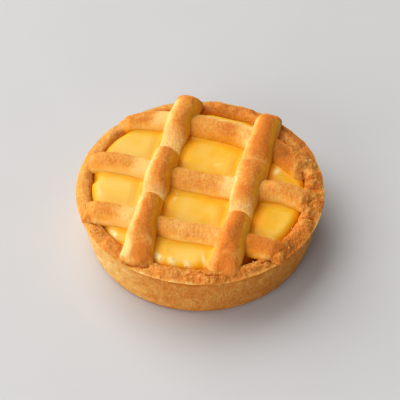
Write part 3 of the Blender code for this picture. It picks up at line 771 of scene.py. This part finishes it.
def custard_height(x, y, from_edge):
    """Height of the custard: level, swollen to the left, higher in the middle of each opening, climbing a
    little onto the strips' sides, and round at its edge. Also how golden it is beside the strips, with painted
    shade that is most on their shaded side and a painted contact shade where it meets them, and how dark its
    hollows are, partly baked brown and partly painted shade."""
    swell = CUSTARD_SWELL * bell(x, y, CUSTARD_SWELL_AT, CUSTARD_SWELL_REACH)
    hollow = sum(depth * MM * long_hill(x, y, *place) for *place, depth, _ in CUSTARD_HOLLOWS)
    scorch_and_shade = np.max([most * long_hill(x, y, *place) for *place, _, most in CUSTARD_HOLLOWS], axis=0)
    open_share = np.ones(np.shape(x))
    golden = np.zeros(np.shape(x))
    meniscus = np.zeros(np.shape(x))
    for strip in ACROSS + ALONG:
        place, aside, beyond = nearest_on_line(strip, x, y)
        clear = np.maximum(np.abs(aside) - along_line(strip, place)[..., 3] / 2.0, beyond)
        open_share = open_share * ease((clear + 0.4 * MM) / PILLOW_REACH)
        # Golden custard beside a strip, with painted shade: wider and stronger on its shaded side, where aside is
        # below 0
        reaches, shares = GOLDEN_AND_SHADE_ALONG if strip in ALONG else GOLDEN_AND_SHADE_ACROSS
        reach, most = np.where(aside < 0.0, *reaches), np.where(aside < 0.0, *shares)
        clear = np.maximum(clear, 0.0)
        # Painted contact shade along the strip's edge
        contact_shade = CONTACT_SHADE * np.exp(-(clear / CONTACT_SHADE_REACH) ** 2)
        golden = np.maximum(golden, most * np.exp(-(clear / reach) ** 2) + contact_shade)
        meniscus = np.maximum(meniscus, np.exp(-(clear / MENISCUS_REACH) ** 2))
    inward = np.clip(from_edge / CUSTARD_EDGE_REACH, 0.0, 1.0)
    drop = CUSTARD_EDGE_DROP * (1.0 - np.sqrt(1.0 - (1.0 - inward) ** 2))
    place = np.stack([x, y, np.zeros(np.shape(x))], -1)
    uneven = DIMPLE_DEPTH * gradient_noise(place, DIMPLE_SIZE, 51) + FOAM_HEIGHT * foam_and_highlight_share(x, y)
    level = CUSTARD_LEVEL + swell - hollow + PILLOW_HEIGHT * open_share + uneven
    return level + MENISCUS_HEIGHT * meniscus * (1.0 - scorch_and_shade) - drop, golden, scorch_and_shade


def add_balls(name, centres, radii, squash, rings, sides, lumpy, material, attributes):
    """Many small closed balls in one mesh: rings of latitude round each centre, flattened to squash times their
    height and made lumpy by random radii. Attributes hold one number for each ball."""
    rng = np.random.default_rng(len(name))
    latitude = np.linspace(0.0, math.pi, rings + 2)[1:-1]
    longitude = np.linspace(0.0, 2.0 * math.pi, sides, endpoint=False)
    east, north = np.cos(longitude), np.sin(longitude)
    ball = np.stack([np.outer(np.sin(latitude), east), np.outer(np.sin(latitude), north),
                     np.outer(np.cos(latitude), np.ones(sides))], -1).reshape(-1, 3)
    ball = np.concatenate([[[0.0, 0.0, 1.0]], ball, [[0.0, 0.0, -1.0]]])
    size = radii[:, None] * (1.0 + lumpy * rng.uniform(-1.0, 1.0, (len(radii), len(ball))))
    points = centres[:, None] + ball * size[..., None] * np.array([1.0, 1.0, squash])
    faces = []
    for k in range(len(radii)):
        faces += [[corner + k * len(ball) for corner in face] for face in tube_faces(rings, sides)]
    columns = {key: np.repeat(values, len(ball)) for key, values in attributes.items()}
    return add_piece(name, points.reshape(-1, 3), faces, material, columns)


def maths(tree, operation, first, second=None, clamp=False):
    """A Math node; first and second are sockets or numbers."""
    made = tree.nodes.new("ShaderNodeMath")
    made.operation = operation
    made.use_clamp = clamp
    for slot, value in zip(made.inputs, (first, second)):
        if isinstance(value, bpy.types.NodeSocket):
            tree.links.new(value, slot)
        elif value is not None:
            slot.default_value = value
    return made.outputs[0]


def mix(tree, factor, first, second, blend="MIX"):
    """A colour Mix node; each input is a socket or a value."""
    made = tree.nodes.new("ShaderNodeMix")
    made.data_type = "RGBA"
    made.blend_type = blend
    for slot, value in zip((made.inputs[0], made.inputs[6], made.inputs[7]), (factor, first, second)):
        if isinstance(value, bpy.types.NodeSocket):
            tree.links.new(value, slot)
        else:
            slot.default_value = value
    return made.outputs[2]


def noise(tree, vector, size, detail, roughness=0.5):
    """A noise texture whose largest features measure size, in metres."""
    made = tree.nodes.new("ShaderNodeTexNoise")
    made.inputs["Scale"].default_value = 1.0 / size
    made.inputs["Detail"].default_value = detail
    made.inputs["Roughness"].default_value = roughness
    tree.links.new(vector, made.inputs["Vector"])
    return made.outputs["Fac"]


def ramp(tree, value, low, high, low_out=0.0, high_out=1.0):
    """A smooth Map Range node."""
    made = tree.nodes.new("ShaderNodeMapRange")
    made.interpolation_type = "SMOOTHSTEP"
    made.inputs["From Min"].default_value = low
    made.inputs["From Max"].default_value = high
    made.inputs["To Min"].default_value = low_out
    made.inputs["To Max"].default_value = high_out
    tree.links.new(value, made.inputs["Value"])
    return made.outputs["Result"]


def group_tree(name, inputs, outputs):
    """A new shader node group with sockets made from (name, kind, default) rows."""
    tree = bpy.data.node_groups.new(name, "ShaderNodeTree")
    for socket_name, kind, default in inputs:
        made = tree.interface.new_socket(socket_name, in_out="INPUT", socket_type=kind)
        made.default_value = default
    for socket_name, kind in outputs:
        tree.interface.new_socket(socket_name, in_out="OUTPUT", socket_type=kind)
    return tree, tree.nodes.new("NodeGroupInput"), tree.nodes.new("NodeGroupOutput")


def baked_dough_group():
    """Baked dough from its toasting, 0 pale to 1 brown and 1.7 dark, which also carries painted shade and
    highlights: four colours mixed by the toasting, which noise of three sizes breaks up, then the stain of egg
    custard, partly painted warm shade, dark specks and light flecks. Also a roughness and a grain height for
    bump."""
    tree, inside, outside = group_tree(
        "Baked dough",
        (("Toast", "NodeSocketFloat", 0.5), ("Eggy", "NodeSocketFloat", 0.0),
         *((key, "NodeSocketColor", (0.7, 0.35, 0.08, 1.0)) for key in DOUGH_COLOURS),
         ("Mottle", "NodeSocketFloat", 0.35), ("Specks", "NodeSocketFloat", 0.35)),
        (("Colour", "NodeSocketColor"), ("Roughness", "NodeSocketFloat"), ("Grain", "NodeSocketFloat")))
    place = tree.nodes.new("ShaderNodeTexCoord").outputs["Object"]
    drawn = tree.nodes.new("ShaderNodeVectorMath")
    drawn.operation = "MULTIPLY"
    drawn.inputs[1].default_value = (1.0, 0.45, 0.6)
    tree.links.new(place, drawn.inputs[0])
    broad = ramp(tree, noise(tree, drawn.outputs[0], 2.6 * MM, 2.0), 0.3, 0.7)
    fine = ramp(tree, noise(tree, drawn.outputs[0], 0.8 * MM, 3.0, 0.6), 0.3, 0.7)
    finest = ramp(tree, noise(tree, place, 0.45 * MM, 2.0, 0.6), 0.32, 0.68)
    wander = maths(tree, "ADD", maths(tree, "MULTIPLY", broad, 0.14), maths(tree, "MULTIPLY", fine, 0.50))
    wander = maths(tree, "ADD", wander, maths(tree, "MULTIPLY", finest, 0.36))
    spread = maths(tree, "MULTIPLY", maths(tree, "SUBTRACT", wander, 0.5), inside.outputs["Mottle"])
    spread = maths(tree, "MULTIPLY", spread, ramp(tree, inside.outputs["Toast"], 0.05, 0.5, 0.45, 1.0))
    toast = maths(tree, "ADD", inside.outputs["Toast"], spread)
    first = mix(tree, ramp(tree, toast, 0.0, 0.5), inside.outputs["Pale"], inside.outputs["Golden"])
    baked = mix(tree, ramp(tree, toast, 0.4, 1.0), first, inside.outputs["Brown"])
    baked = mix(tree, ramp(tree, toast, 1.0, 1.7), baked, inside.outputs["Dark"])
    stained = mix(tree, maths(tree, "MULTIPLY", inside.outputs["Eggy"], 0.85), baked, inside.outputs["Stain"])
    speck = maths(tree, "MULTIPLY", ramp(tree, fine, 0.30, 0.0), inside.outputs["Specks"])
    speck = maths(tree, "MULTIPLY", speck, ramp(tree, toast, 0.1, 0.6, 0.15, 0.75))
    dotted = mix(tree, speck, stained, inside.outputs["Speck"])
    fleck = maths(tree, "MULTIPLY", ramp(tree, finest, 0.7, 1.0), 0.30)
    fleck = maths(tree, "MULTIPLY", fleck, inside.outputs["Specks"])
    fleck = maths(tree, "MULTIPLY", fleck, ramp(tree, toast, 0.2, 0.6))
    tree.links.new(mix(tree, fleck, dotted, inside.outputs["Fleck"]), outside.inputs["Colour"])
    tree.links.new(ramp(tree, toast, 0.0, 1.0, 0.55, 0.80), outside.inputs["Roughness"])
    grain = maths(tree, "ADD", maths(tree, "MULTIPLY", fine, 0.7), maths(tree, "MULTIPLY", finest, 0.5))
    tree.links.new(grain, outside.inputs["Grain"])
    return tree


def rgba(colour):
    return (*colour, 1.0)


def new_material(name, look):
    """A material whose shader has the values in look. Also gives its node tree and the shader."""
    material = bpy.data.materials.new(name)
    material.use_nodes = True
    shader = material.node_tree.nodes["Principled BSDF"]
    for key, value in look.items():
        shader.inputs[key].default_value = value
    return material, material.node_tree, shader


def add_bump(tree, shader, height, strength, distance):
    """Fine relief in the shading only, from a height between 0 and 1."""
    relief = tree.nodes.new("ShaderNodeBump")
    relief.inputs["Strength"].default_value = strength
    relief.inputs["Distance"].default_value = distance
    tree.links.new(height, relief.inputs["Height"])
    tree.links.new(relief.outputs["Normal"], shader.inputs["Normal"])


def dough_material(name, colours, mottle, specks, bump):
    """Baked dough with the toasting and the egg stain of the piece's own attributes, which carry painted shade
    and highlights too.
    """
    material, tree, shader = new_material(name, DOUGH_LOOK)
    dough = tree.nodes.new("ShaderNodeGroup")
    dough.node_tree = bpy.data.node_groups["Baked dough"]
    for key in ("Toast", "Eggy"):
        amount = tree.nodes.new("ShaderNodeAttribute")
        amount.attribute_name = key.lower()
        tree.links.new(amount.outputs["Fac"], dough.inputs[key])
    for key in DOUGH_COLOURS:
        dough.inputs[key].default_value = rgba(getattr(colours, key.lower()))
    dough.inputs["Mottle"].default_value = mottle
    dough.inputs["Specks"].default_value = specks
    tree.links.new(dough.outputs["Colour"], shader.inputs["Base Color"])
    tree.links.new(dough.outputs["Roughness"], shader.inputs["Roughness"])
    add_bump(tree, shader, dough.outputs["Grain"], bump, 0.22 * MM)
    return material


def custard_material(name, colours, gloss):
    """Set custard: deep yellow that varies softly, moist, and lit a little from within. Where the attribute
    deep is high it is more orange, golden custard with painted shade beside the strips and against the wall;
    where the hollows' attribute is high it is dark brown, partly baked and partly painted shade; and where
    foam is high it is pale, foam with a painted highlight."""
    material, tree, shader = new_material(name, CUSTARD_LOOK)
    place = tree.nodes.new("ShaderNodeTexCoord").outputs["Object"]
    share = {}
    for key in ("deep", "scorched", "foam"):
        reader = tree.nodes.new("ShaderNodeAttribute")
        reader.attribute_name = key
        share[key] = reader.outputs["Fac"]
    cloud = ramp(tree, noise(tree, place, 6.0 * MM, 3.0), 0.35, 0.7)
    fleck = ramp(tree, noise(tree, place, 1.1 * MM, 2.0), 0.35, 0.75)
    amount = maths(tree, "ADD", share["deep"], maths(tree, "MULTIPLY", cloud, 0.19), True)
    amount = maths(tree, "ADD", amount, maths(tree, "MULTIPLY", fleck, 0.06), True)
    colour = mix(tree, ramp(tree, amount, 0.0, 0.6), rgba(colours.custard), rgba(colours.custard_golden_and_shade))
    colour = mix(tree, ramp(tree, amount, 0.45, 1.0), colour, rgba(colours.custard_deep_and_shade))
    colour = mix(tree, share["scorched"], colour, rgba(colours.scorched))
    colour = mix(tree, share["foam"], colour, rgba(colours.foam))
    tree.links.new(colour, shader.inputs["Base Color"])
    smear = noise(tree, place, 2.5 * MM, 3.0)
    matt = ramp(tree, smear, 0.35, 0.65, gloss, gloss + 0.14)
    wet = maths(tree, "MULTIPLY", share["foam"], 0.22)
    tree.links.new(maths(tree, "SUBTRACT", matt, wet, True), shader.inputs["Roughness"])
    add_bump(tree, shader, noise(tree, place, 1.3 * MM, 2.0), 0.18, 0.15 * MM)
    return material


class CROSTATA_OT_crust(bpy.types.Operator):
    """The shell with its crumbly rim, in place of the solid crust"""

    bl_idname = "crostata.crust"
    bl_label = "Crust"

    def execute(self, context):
        scene = context.scene
        rings, shares, radius, angles = shell_rings(scene.crostata_sizes)
        z = rings[..., 2]
        inside = ease((inner_edge(angles) + 0.3 * MM - radius) / (1.0 * MM)) * (z > 6.0 * MM)
        toast = shell_toast(rings, shares, radius, angles) + INSIDE_TOAST * inside
        eggy = inside * ease((19.0 * MM - z) / (1.5 * MM))
        material = dough_material("Crust", scene.crostata_colours, *CRUST_TEXTURE)
        piece = tube_piece("crust_shell", rings, material, {"toast": np.clip(toast, 0.0, 1.7), "eggy": eggy})
        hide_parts("crust")
        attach(piece, "root")
        return {"FINISHED"}


class CROSTATA_OT_custard(bpy.types.Operator):
    """The custard, which fills the shell and swells between the strips"""

    bl_idname = "crostata.custard"
    bl_label = "Custard"

    def execute(self, context):
        angles = np.linspace(0.0, 2.0 * np.pi, CUSTARD_DIVISIONS, endpoint=False)
        outer = inner_edge(angles) - INNER_WALL_LEAN * 0.45
        share = np.linspace(0.0, 0.995, CUSTARD_ROWS)[:, None] ** 1.2
        radius = outer * (1.0 - share)
        x, y = radius * np.cos(angles), radius * np.sin(angles)
        z, golden, scorch_and_shade = custard_height(x, y, outer * share)
        top = np.stack([x, y, z], -1)
        base = []
        for inward, height in ((4.0 * MM, FLOOR_THICKNESS + 0.4 * MM), (0.9 * MM, 9.5 * MM)):
            ring = outer - inward
            level = np.full_like(angles, height)
            base.append(np.stack([ring * np.cos(angles), ring * np.sin(angles), level], -1))
        rings = np.concatenate([base, top])
        # Painted shade: the custard is darker golden in the trough where it meets the crust's wall
        edge = ease(1.0 - outer * share / (2.4 * MM))
        # Painted shade: the custard grows more golden towards the right and the back
        shade_rightward = 0.05 + 0.20 * ease((x + 22.0 * MM) / (26.0 * MM)) * ease((y + 34.0 * MM) / (20.0 * MM))
        deep = np.clip(golden + 0.6 * edge + shade_rightward, 0.0, 1.0) * (1.0 - foam_and_highlight_share(x, y))
        columns = {"deep": deep, "scorched": ease(scorch_and_shade * 1.2 - 0.1), "foam": 0.8 * foam_and_highlight_share(x, y)}
        for key, grid in columns.items():
            columns[key] = np.concatenate([np.repeat(grid[:1], 2, axis=0), grid])
        material = custard_material("Custard", context.scene.crostata_colours, 0.30)
        piece = tube_piece("custard_fill", rings, material, columns)
        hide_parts("custard")
        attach(piece, "root")
        return {"FINISHED"}


class CROSTATA_OT_bubbles(bpy.types.Operator):
    """Low bubbles and wet foam that stand in the custard"""

    bl_idname = "crostata.bubbles"
    bl_label = "Custard bubbles"

    def execute(self, context):
        x, y, radii, foam = np.array(BUBBLES).T
        x, y, radii = x * MM, y * MM, radii * MM * context.scene.crostata_sizes.bubble_scale
        from_edge = inner_edge(np.arctan2(y, x)) - np.hypot(x, y)
        z = custard_height(x, y, from_edge)[0]
        material = custard_material("Custard foam", context.scene.crostata_colours, 0.26)
        none = np.zeros(len(x))
        centres = np.stack([x, y, z - BUBBLE_SINK * radii], -1)
        # The bubbles' pale foam colour is partly a painted highlight
        piece = add_balls("custard_bubbles", centres, radii, BUBBLE_RISE, BUBBLE_RINGS, BUBBLE_SIDES,
                          BUBBLE_LUMPS, material,
                          {"deep": none, "scorched": none, "foam": np.minimum(0.85, 1.1 * foam)})
        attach(piece, "root")
        return {"FINISHED"}


class CROSTATA_OT_crumbs(bpy.types.Operator):
    """Loose crumbs on the rim, where it is roughest"""

    bl_idname = "crostata.crumbs"
    bl_label = "Loose crumbs"

    def execute(self, context):
        mesh = bpy.data.objects["crust_shell"].data
        points = np.empty(len(mesh.vertices) * 3, dtype=np.float32)
        mesh.vertices.foreach_get("co", points)
        points = points.reshape(-1, 3).astype(float)
        radius = np.hypot(points[:, 0], points[:, 1])
        on_rim = (radius > inner_edge(0.0)) & (radius < LIP_RADIUS - 0.5 * MM)
        points = points[(points[:, 2] > RIM_HEIGHT - 0.9 * MM) & on_rim]
        for strip in ACROSS + ALONG:
            place, aside, beyond = nearest_on_line(strip, points[:, 0], points[:, 1])
            clear = np.maximum(np.abs(aside) - along_line(strip, place)[:, 3] / 2.0, beyond)
            points = points[clear > 0.0]
        rng = np.random.default_rng(77)
        likely = 0.35 + crack_share(points[:, 0], points[:, 1], 1.8 * MM) * 4.0 + 0.4 * (points[:, 0] > 0.0)
        count = context.scene.crostata_sizes.crumb_count
        picked = points[rng.choice(len(points), count, replace=False, p=likely / likely.sum())]
        low, high = CRUMB_RADIUS
        radii = low + (high - low) * rng.random(count) ** 2.2
        material = dough_material("Crumbs", context.scene.crostata_colours, *CRUMB_TEXTURE)
        lifted = picked + np.array([0.0, 0.0, CRUMB_LIFT]) * radii[:, None]
        piece = add_balls("loose_crumbs", lifted, radii, CRUMB_SQUASH, CRUMB_RINGS, CRUMB_SIDES, CRUMB_LUMPS,
                          material, {"toast": rng.uniform(0.4, 1.0, count), "eggy": np.zeros(count)})
        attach(piece, "root")
        return {"FINISHED"}


def high_parts(strip, skin):
    """Where a strip stands high and browns, 0 to 1. On a strip across, also how near a point lies to the right
    of an upper strip, in its shade, and to the left of one, where the dough is pale."""
    x, y = skin.points[..., 0], skin.points[..., 1]
    beside, paled, near = np.zeros(x.shape), np.zeros(x.shape), np.full(x.shape, 1.0)
    if strip in ALONG:
        high = ease((skin.crown - 21.0 * MM) / (2.4 * MM))
        return np.maximum(high, ease(1.4 - skin.reach / (9.0 * MM))), beside, paled
    for upper, most in zip(ALONG, PALED_BY):
        aside = nearest_on_line(upper, x, y)[1]
        near = np.minimum(near, np.abs(aside))
        beside = np.maximum(beside, np.exp(-((aside + 5.0 * MM) / (2.8 * MM)) ** 2))
        paled = np.maximum(paled, most * np.exp(-((aside - 6.0 * MM) / (2.6 * MM)) ** 2))
    high = ease((near - 5.0 * MM) / (7.0 * MM))
    if strip.leans[1] > 0.0:
        high = np.maximum(high, ease((x - 20.0 * MM) / (5.0 * MM)))
    return high, beside, paled


def strip_toast(strip, skin, high, grain, lot):
    """How far a strip is toasted: a ragged brown band on its crown, leaning as the strip says, to the right as
    painted shade on the shaded flank, on paler sides with blotches and darker creases between grains as painted
    shade; soft gold where an end melts into the rim, brown at a free end; and the listed spots, some of them
    painted shade and one a painted highlight. A strip along is paler on its left, as painted light on its lit
    side, and flares pale at its front foot."""
    x, y = skin.points[..., 0], skin.points[..., 1]
    east, north, up = (skin.normal[..., axis] for axis in range(3))
    leftward, front_half = np.cos(skin.around), skin.s < 0.5
    ragged = clouds(skin.points, RAGGED_CLOUDS)
    # Painted shade: the brown band leans onto a strip's shaded right flank
    right = strip.leans[0] - 0.45 * bell(x, y, (8.0 * MM, -25.0 * MM), 6.0 * MM)
    front = strip.leans[1] * ease((x + 4.0 * MM) / (6.0 * MM))
    band = ease((up + right * east - front * north + ragged - 0.30) / 0.65)
    if strip in ALONG:
        # Painted light: a strip along is paler on its lit left side
        paler = LIT_PALE_LEFT[ALONG.index(strip)] * (1.0 - 0.5 * ease((skin.s - 0.30) / 0.2))
        band = band * (1.0 - paler * ease((leftward + ragged - 0.22) / 0.5))
    base, more, blotchy, held, brown = ALONG_TOAST if strip in ALONG else ACROSS_TOAST
    toast = base + (more + strip.browned * high) * band + blotchy * clouds(skin.points, BLOTCH_CLOUDS)
    # Painted shade in the creases between grains, and a random tone for each grain
    toast = toast + (0.10 * (lot - 0.5) + 0.14 * ease((0.62 - grain) / 0.3)) * band
    soft = 0.55 + 0.10 * gradient_noise(skin.points, 2.0 * MM, 36)
    toast = toast + (soft - toast) * skin.melting
    tip = (1.0 - ease((skin.reach - held) / TIP_FADE)) * (1.0 - np.where(front_half, *strip.melts))
    tip_toast = brown + 0.10 * gradient_noise(skin.points, 1.5 * MM, 37)
    toast = toast + (tip_toast - toast) * tip * ease(up + 0.5)
    # The listed spots: some of them painted shade, one a painted highlight
    toast = toast + sum(more * bell(x, y, (at_x * MM, at_y * MM), spread * MM / 1.4)
                        for at_x, at_y, spread, more in STRIP_TOAST_SHADE_AND_HIGHLIGHT)
    if strip in ALONG:
        flare = 0.28 + 0.50 * ease((-6.0 * MM - x) / (4.0 * MM))
        foot = (1.0 - ease((skin.reach - 3.0 * MM) / (7.0 * MM))) * front_half
        toast = toast - flare * ease(leftward / 0.8) * foot
    return toast


def strip_egg_and_shade(strip, skin, upward, beside, paled):
    """How far egg custard has stained a strip: low on its sides, less on the lit left of a strip along, and on the
    right of a strip along and the front of a strip across, where the stain colour is partly real stain and
    partly painted shade lit warm by the custard; a little also in the painted shadow beside an upper strip."""
    x, y, z = (skin.points[..., axis] for axis in range(3))
    low = ease((20.4 * MM - z) / (2.0 * MM)) * (1.0 - upward)
    if strip in ALONG:
        # Less stain on the lit left flank, as painted light; on the right flank the stain colour is partly real
        # stain, partly painted shade lit warm by the custard
        low = low * (1.0 - 0.65 * ease(np.cos(skin.around) / 0.6))
        egg = np.maximum(low, 0.9 * ease((skin.normal[..., 0] - 0.35) / 0.5) * ease(skin.reach / (6.0 * MM)))
    else:
        # On the front flank of a strip across the stain is partly painted shade lit warm by the custard
        front = 0.42 * ease((-skin.normal[..., 1] - 0.35) / 0.5)
        egg = np.max([low, 0.108 * beside, front, 0.22 * paled], axis=0)
    return egg * ease((38.0 * MM - np.hypot(x, y)) / (3.0 * MM))


def add_strip(strip, sizes, material):
    """One strip with its relief and its toasting, in place of its solid: grain on its crown, lumps where an end
    melts in, and the rim's crumbs and cracks where it lies on the rim."""
    angles = np.linspace(0.0, 2.0 * np.pi, STRIP_SIDES, endpoint=False)
    s, around = np.meshgrid(strip_stations(strip), angles, indexing="ij")
    rings, crown, reach = strip_surface(strip, s, around)
    melting = (1.0 - ease(reach / (8.0 * MM))) * np.where(s < 0.5, *strip.melts)
    skin = Skin(rings, grid_normals(rings, True), s, around, crown, reach, melting)
    x, y = rings[..., 0], rings[..., 1]
    crumbly = ease((np.hypot(x, y) - np.where(s < 0.5, *strip.crumbly_from)) / (3.0 * MM))
    upward = ease((skin.normal[..., 2] - 0.30) / 0.62)
    high, beside, paled = high_parts(strip, skin)
    grain, lot = grains(rings, GRAIN_SIZE, 32)
    rough, crease = crumbs(rings, 40)
    crack = crack_share(x, y, CRACK_WIDTH) * crumbly
    # Painted shadow on a strip across to the right of an upper strip
    toast = strip_toast(strip, skin, high, grain, lot) + BESIDE_SHADE * beside - PALED_TOAST * paled
    # On the rim a strip takes the rim's crumbs, with painted shade in their creases and cracks, and a painted
    # highlight by the middle strip
    at_x, at_y, spread, highlight_lift = RIM_HIGHLIGHT
    rim = 0.48 + 0.45 * crease - highlight_lift * bell(x, y, (at_x, at_y), spread)
    toast = toast * (1.0 - crumbly) + crumbly * rim + 0.9 * crack
    eggy = strip_egg_and_shade(strip, skin, upward, beside, paled) * (1.0 - crumbly)
    relief = gradient_noise(rings, 3.0 * MM, 31) * 0.12 * MM
    relief += gradient_noise(rings, END_LUMP_SIZE, 38) * END_LUMP_HEIGHT * melting
    relief += sizes.grain_height * (grain - 0.55) * (0.35 + 0.65 * upward * high) * (1.0 - crumbly)
    relief += sizes.crumb_height * 0.9 * crumbly * rough - CRACK_DEPTH * 0.6 * crack
    rings = rings + skin.normal * (relief * ease(reach / (0.8 * MM)))[..., None]
    attributes = {"toast": np.clip(toast, 0.0, 1.7), "eggy": eggy}
    piece = tube_piece(strip.name + "_dough", rings, material, attributes)
    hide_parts(strip.name)
    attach(piece, "root")


def lattice_material(colours):
    """The strips' dough, made once and shared by all five."""
    made = bpy.data.materials.get("Lattice dough")
    return made or dough_material("Lattice dough", colours, *LATTICE_TEXTURE)


class CROSTATA_OT_strips_across(bpy.types.Operator):
    """The three strips that lie from left to right"""

    bl_idname = "crostata.strips_across"
    bl_label = "Strips across"

    def execute(self, context):
        for strip in ACROSS:
            add_strip(strip, context.scene.crostata_sizes, lattice_material(context.scene.crostata_colours))
        return {"FINISHED"}


class CROSTATA_OT_strips_along(bpy.types.Operator):
    """The two strips that lie over the others from front to back"""

    bl_idname = "crostata.strips_along"
    bl_label = "Strips along"

    def execute(self, context):
        for strip in ALONG:
            add_strip(strip, context.scene.crostata_sizes, lattice_material(context.scene.crostata_colours))
        return {"FINISHED"}


def add_floor(colours):
    """A wide, pale, level floor: one face, whose colour varies a little with place."""
    corners = ((-1.0, -1.0, 0.0), (1.0, -1.0, 0.0), (1.0, 1.0, 0.0), (-1.0, 1.0, 0.0))
    points = FLOOR_REACH * np.array(corners)
    material, tree, shader = new_material("Floor", FLOOR_LOOK)
    place = tree.nodes.new("ShaderNodeTexCoord").outputs["Object"]
    tone = ramp(tree, noise(tree, place, 30.0 * MM, 2.0), 0.3, 0.7)
    darker = tuple(0.985 * channel for channel in colours.floor)
    tree.links.new(mix(tree, tone, rgba(colours.floor), rgba(darker)), shader.inputs["Base Color"])
    floor = add_piece("floor", points, [(0, 1, 2, 3)], material, {})


def add_area_light(name, place, size, power, colour):
    """A square soft light at place that points at the middle of the tart."""
    data = bpy.data.lights.new(name, "AREA")
    data.size = size
    data.energy = power
    data.color = colour
    light = bpy.data.objects.new(name, data)
    aim = Vector(LIGHTS_AIM) - Vector(place)
    light.matrix_world = Matrix.Translation(place) @ aim.to_track_quat("-Z", "Y").to_matrix().to_4x4()
    bpy.context.scene.collection.objects.link(light)


def add_camera():
    """The photograph's camera: looking down on the tart from the front, rolled a little."""
    data = bpy.data.cameras.new("camera")
    data.lens = CAMERA_LENS
    data.clip_start = 0.01
    camera = bpy.data.objects.new("camera", data)
    forward = Vector((0.0, math.cos(CAMERA_ELEVATION), -math.sin(CAMERA_ELEVATION)))
    turn = (-forward).to_track_quat("Z", "Y").to_matrix() @ Matrix.Rotation(CAMERA_ROLL, 3, "Z")
    place = Vector(CAMERA_AIM) - forward * CAMERA_DISTANCE
    camera.matrix_world = Matrix.Translation(place) @ turn.to_4x4()
    bpy.context.scene.collection.objects.link(camera)
    bpy.context.scene.camera = camera


class CROSTATA_OT_stage(bpy.types.Operator):
    """The floor, the lights and the camera"""

    bl_idname = "crostata.stage"
    bl_label = "Stage"

    def execute(self, context):
        scene = context.scene
        add_floor(scene.crostata_colours)
        add_camera()
        for name, settings in LIGHTS.items():
            add_area_light(name, *settings)
        world = bpy.data.worlds.new("Studio")
        world.use_nodes = True
        sky = world.node_tree.nodes["Background"]
        sky.inputs["Color"].default_value = SKY_COLOUR
        sky.inputs["Strength"].default_value = SKY_STRENGTH
        scene.world = world
        scene.view_settings.view_transform = "Standard"
        return {"FINISHED"}


class CROSTATA_PT_panel(bpy.types.Panel):
    """Buttons that build the tart piece by piece, and its sizes and colours"""

    bl_label = "Custard crostata"
    bl_idname = "CROSTATA_PT_panel"
    bl_space_type = "VIEW_3D"
    bl_region_type = "UI"
    bl_category = "Crostata"

    def draw(self, context):
        for settings in (context.scene.crostata_sizes, context.scene.crostata_colours):
            for key in settings.__annotations__:
                self.layout.prop(settings, key)
        for operator in OPERATORS:
            self.layout.operator(operator.bl_idname)


OPERATORS = (
    CROSTATA_OT_crust,
    CROSTATA_OT_custard,
    CROSTATA_OT_bubbles,
    CROSTATA_OT_crumbs,
    CROSTATA_OT_strips_across,
    CROSTATA_OT_strips_along,
    CROSTATA_OT_stage,
)
CLASSES = (CrostataSizes, CrostataColours, *OPERATORS, CROSTATA_PT_panel)


def register():
    for each in CLASSES:
        bpy.utils.register_class(each)
    bpy.types.Scene.crostata_sizes = PointerProperty(type=CrostataSizes)
    bpy.types.Scene.crostata_colours = PointerProperty(type=CrostataColours)


def unregister():
    del bpy.types.Scene.crostata_colours
    del bpy.types.Scene.crostata_sizes
    for each in reversed(CLASSES):
        bpy.utils.unregister_class(each)


def main():
    register()
    baked_dough_group()
    bpy.ops.crostata.crust()
    bpy.ops.crostata.custard()
    bpy.ops.crostata.bubbles()
    bpy.ops.crostata.crumbs()
    bpy.ops.crostata.strips_across()
    bpy.ops.crostata.strips_along()
    bpy.ops.crostata.stage()


if __name__ == "__main__":
    main()
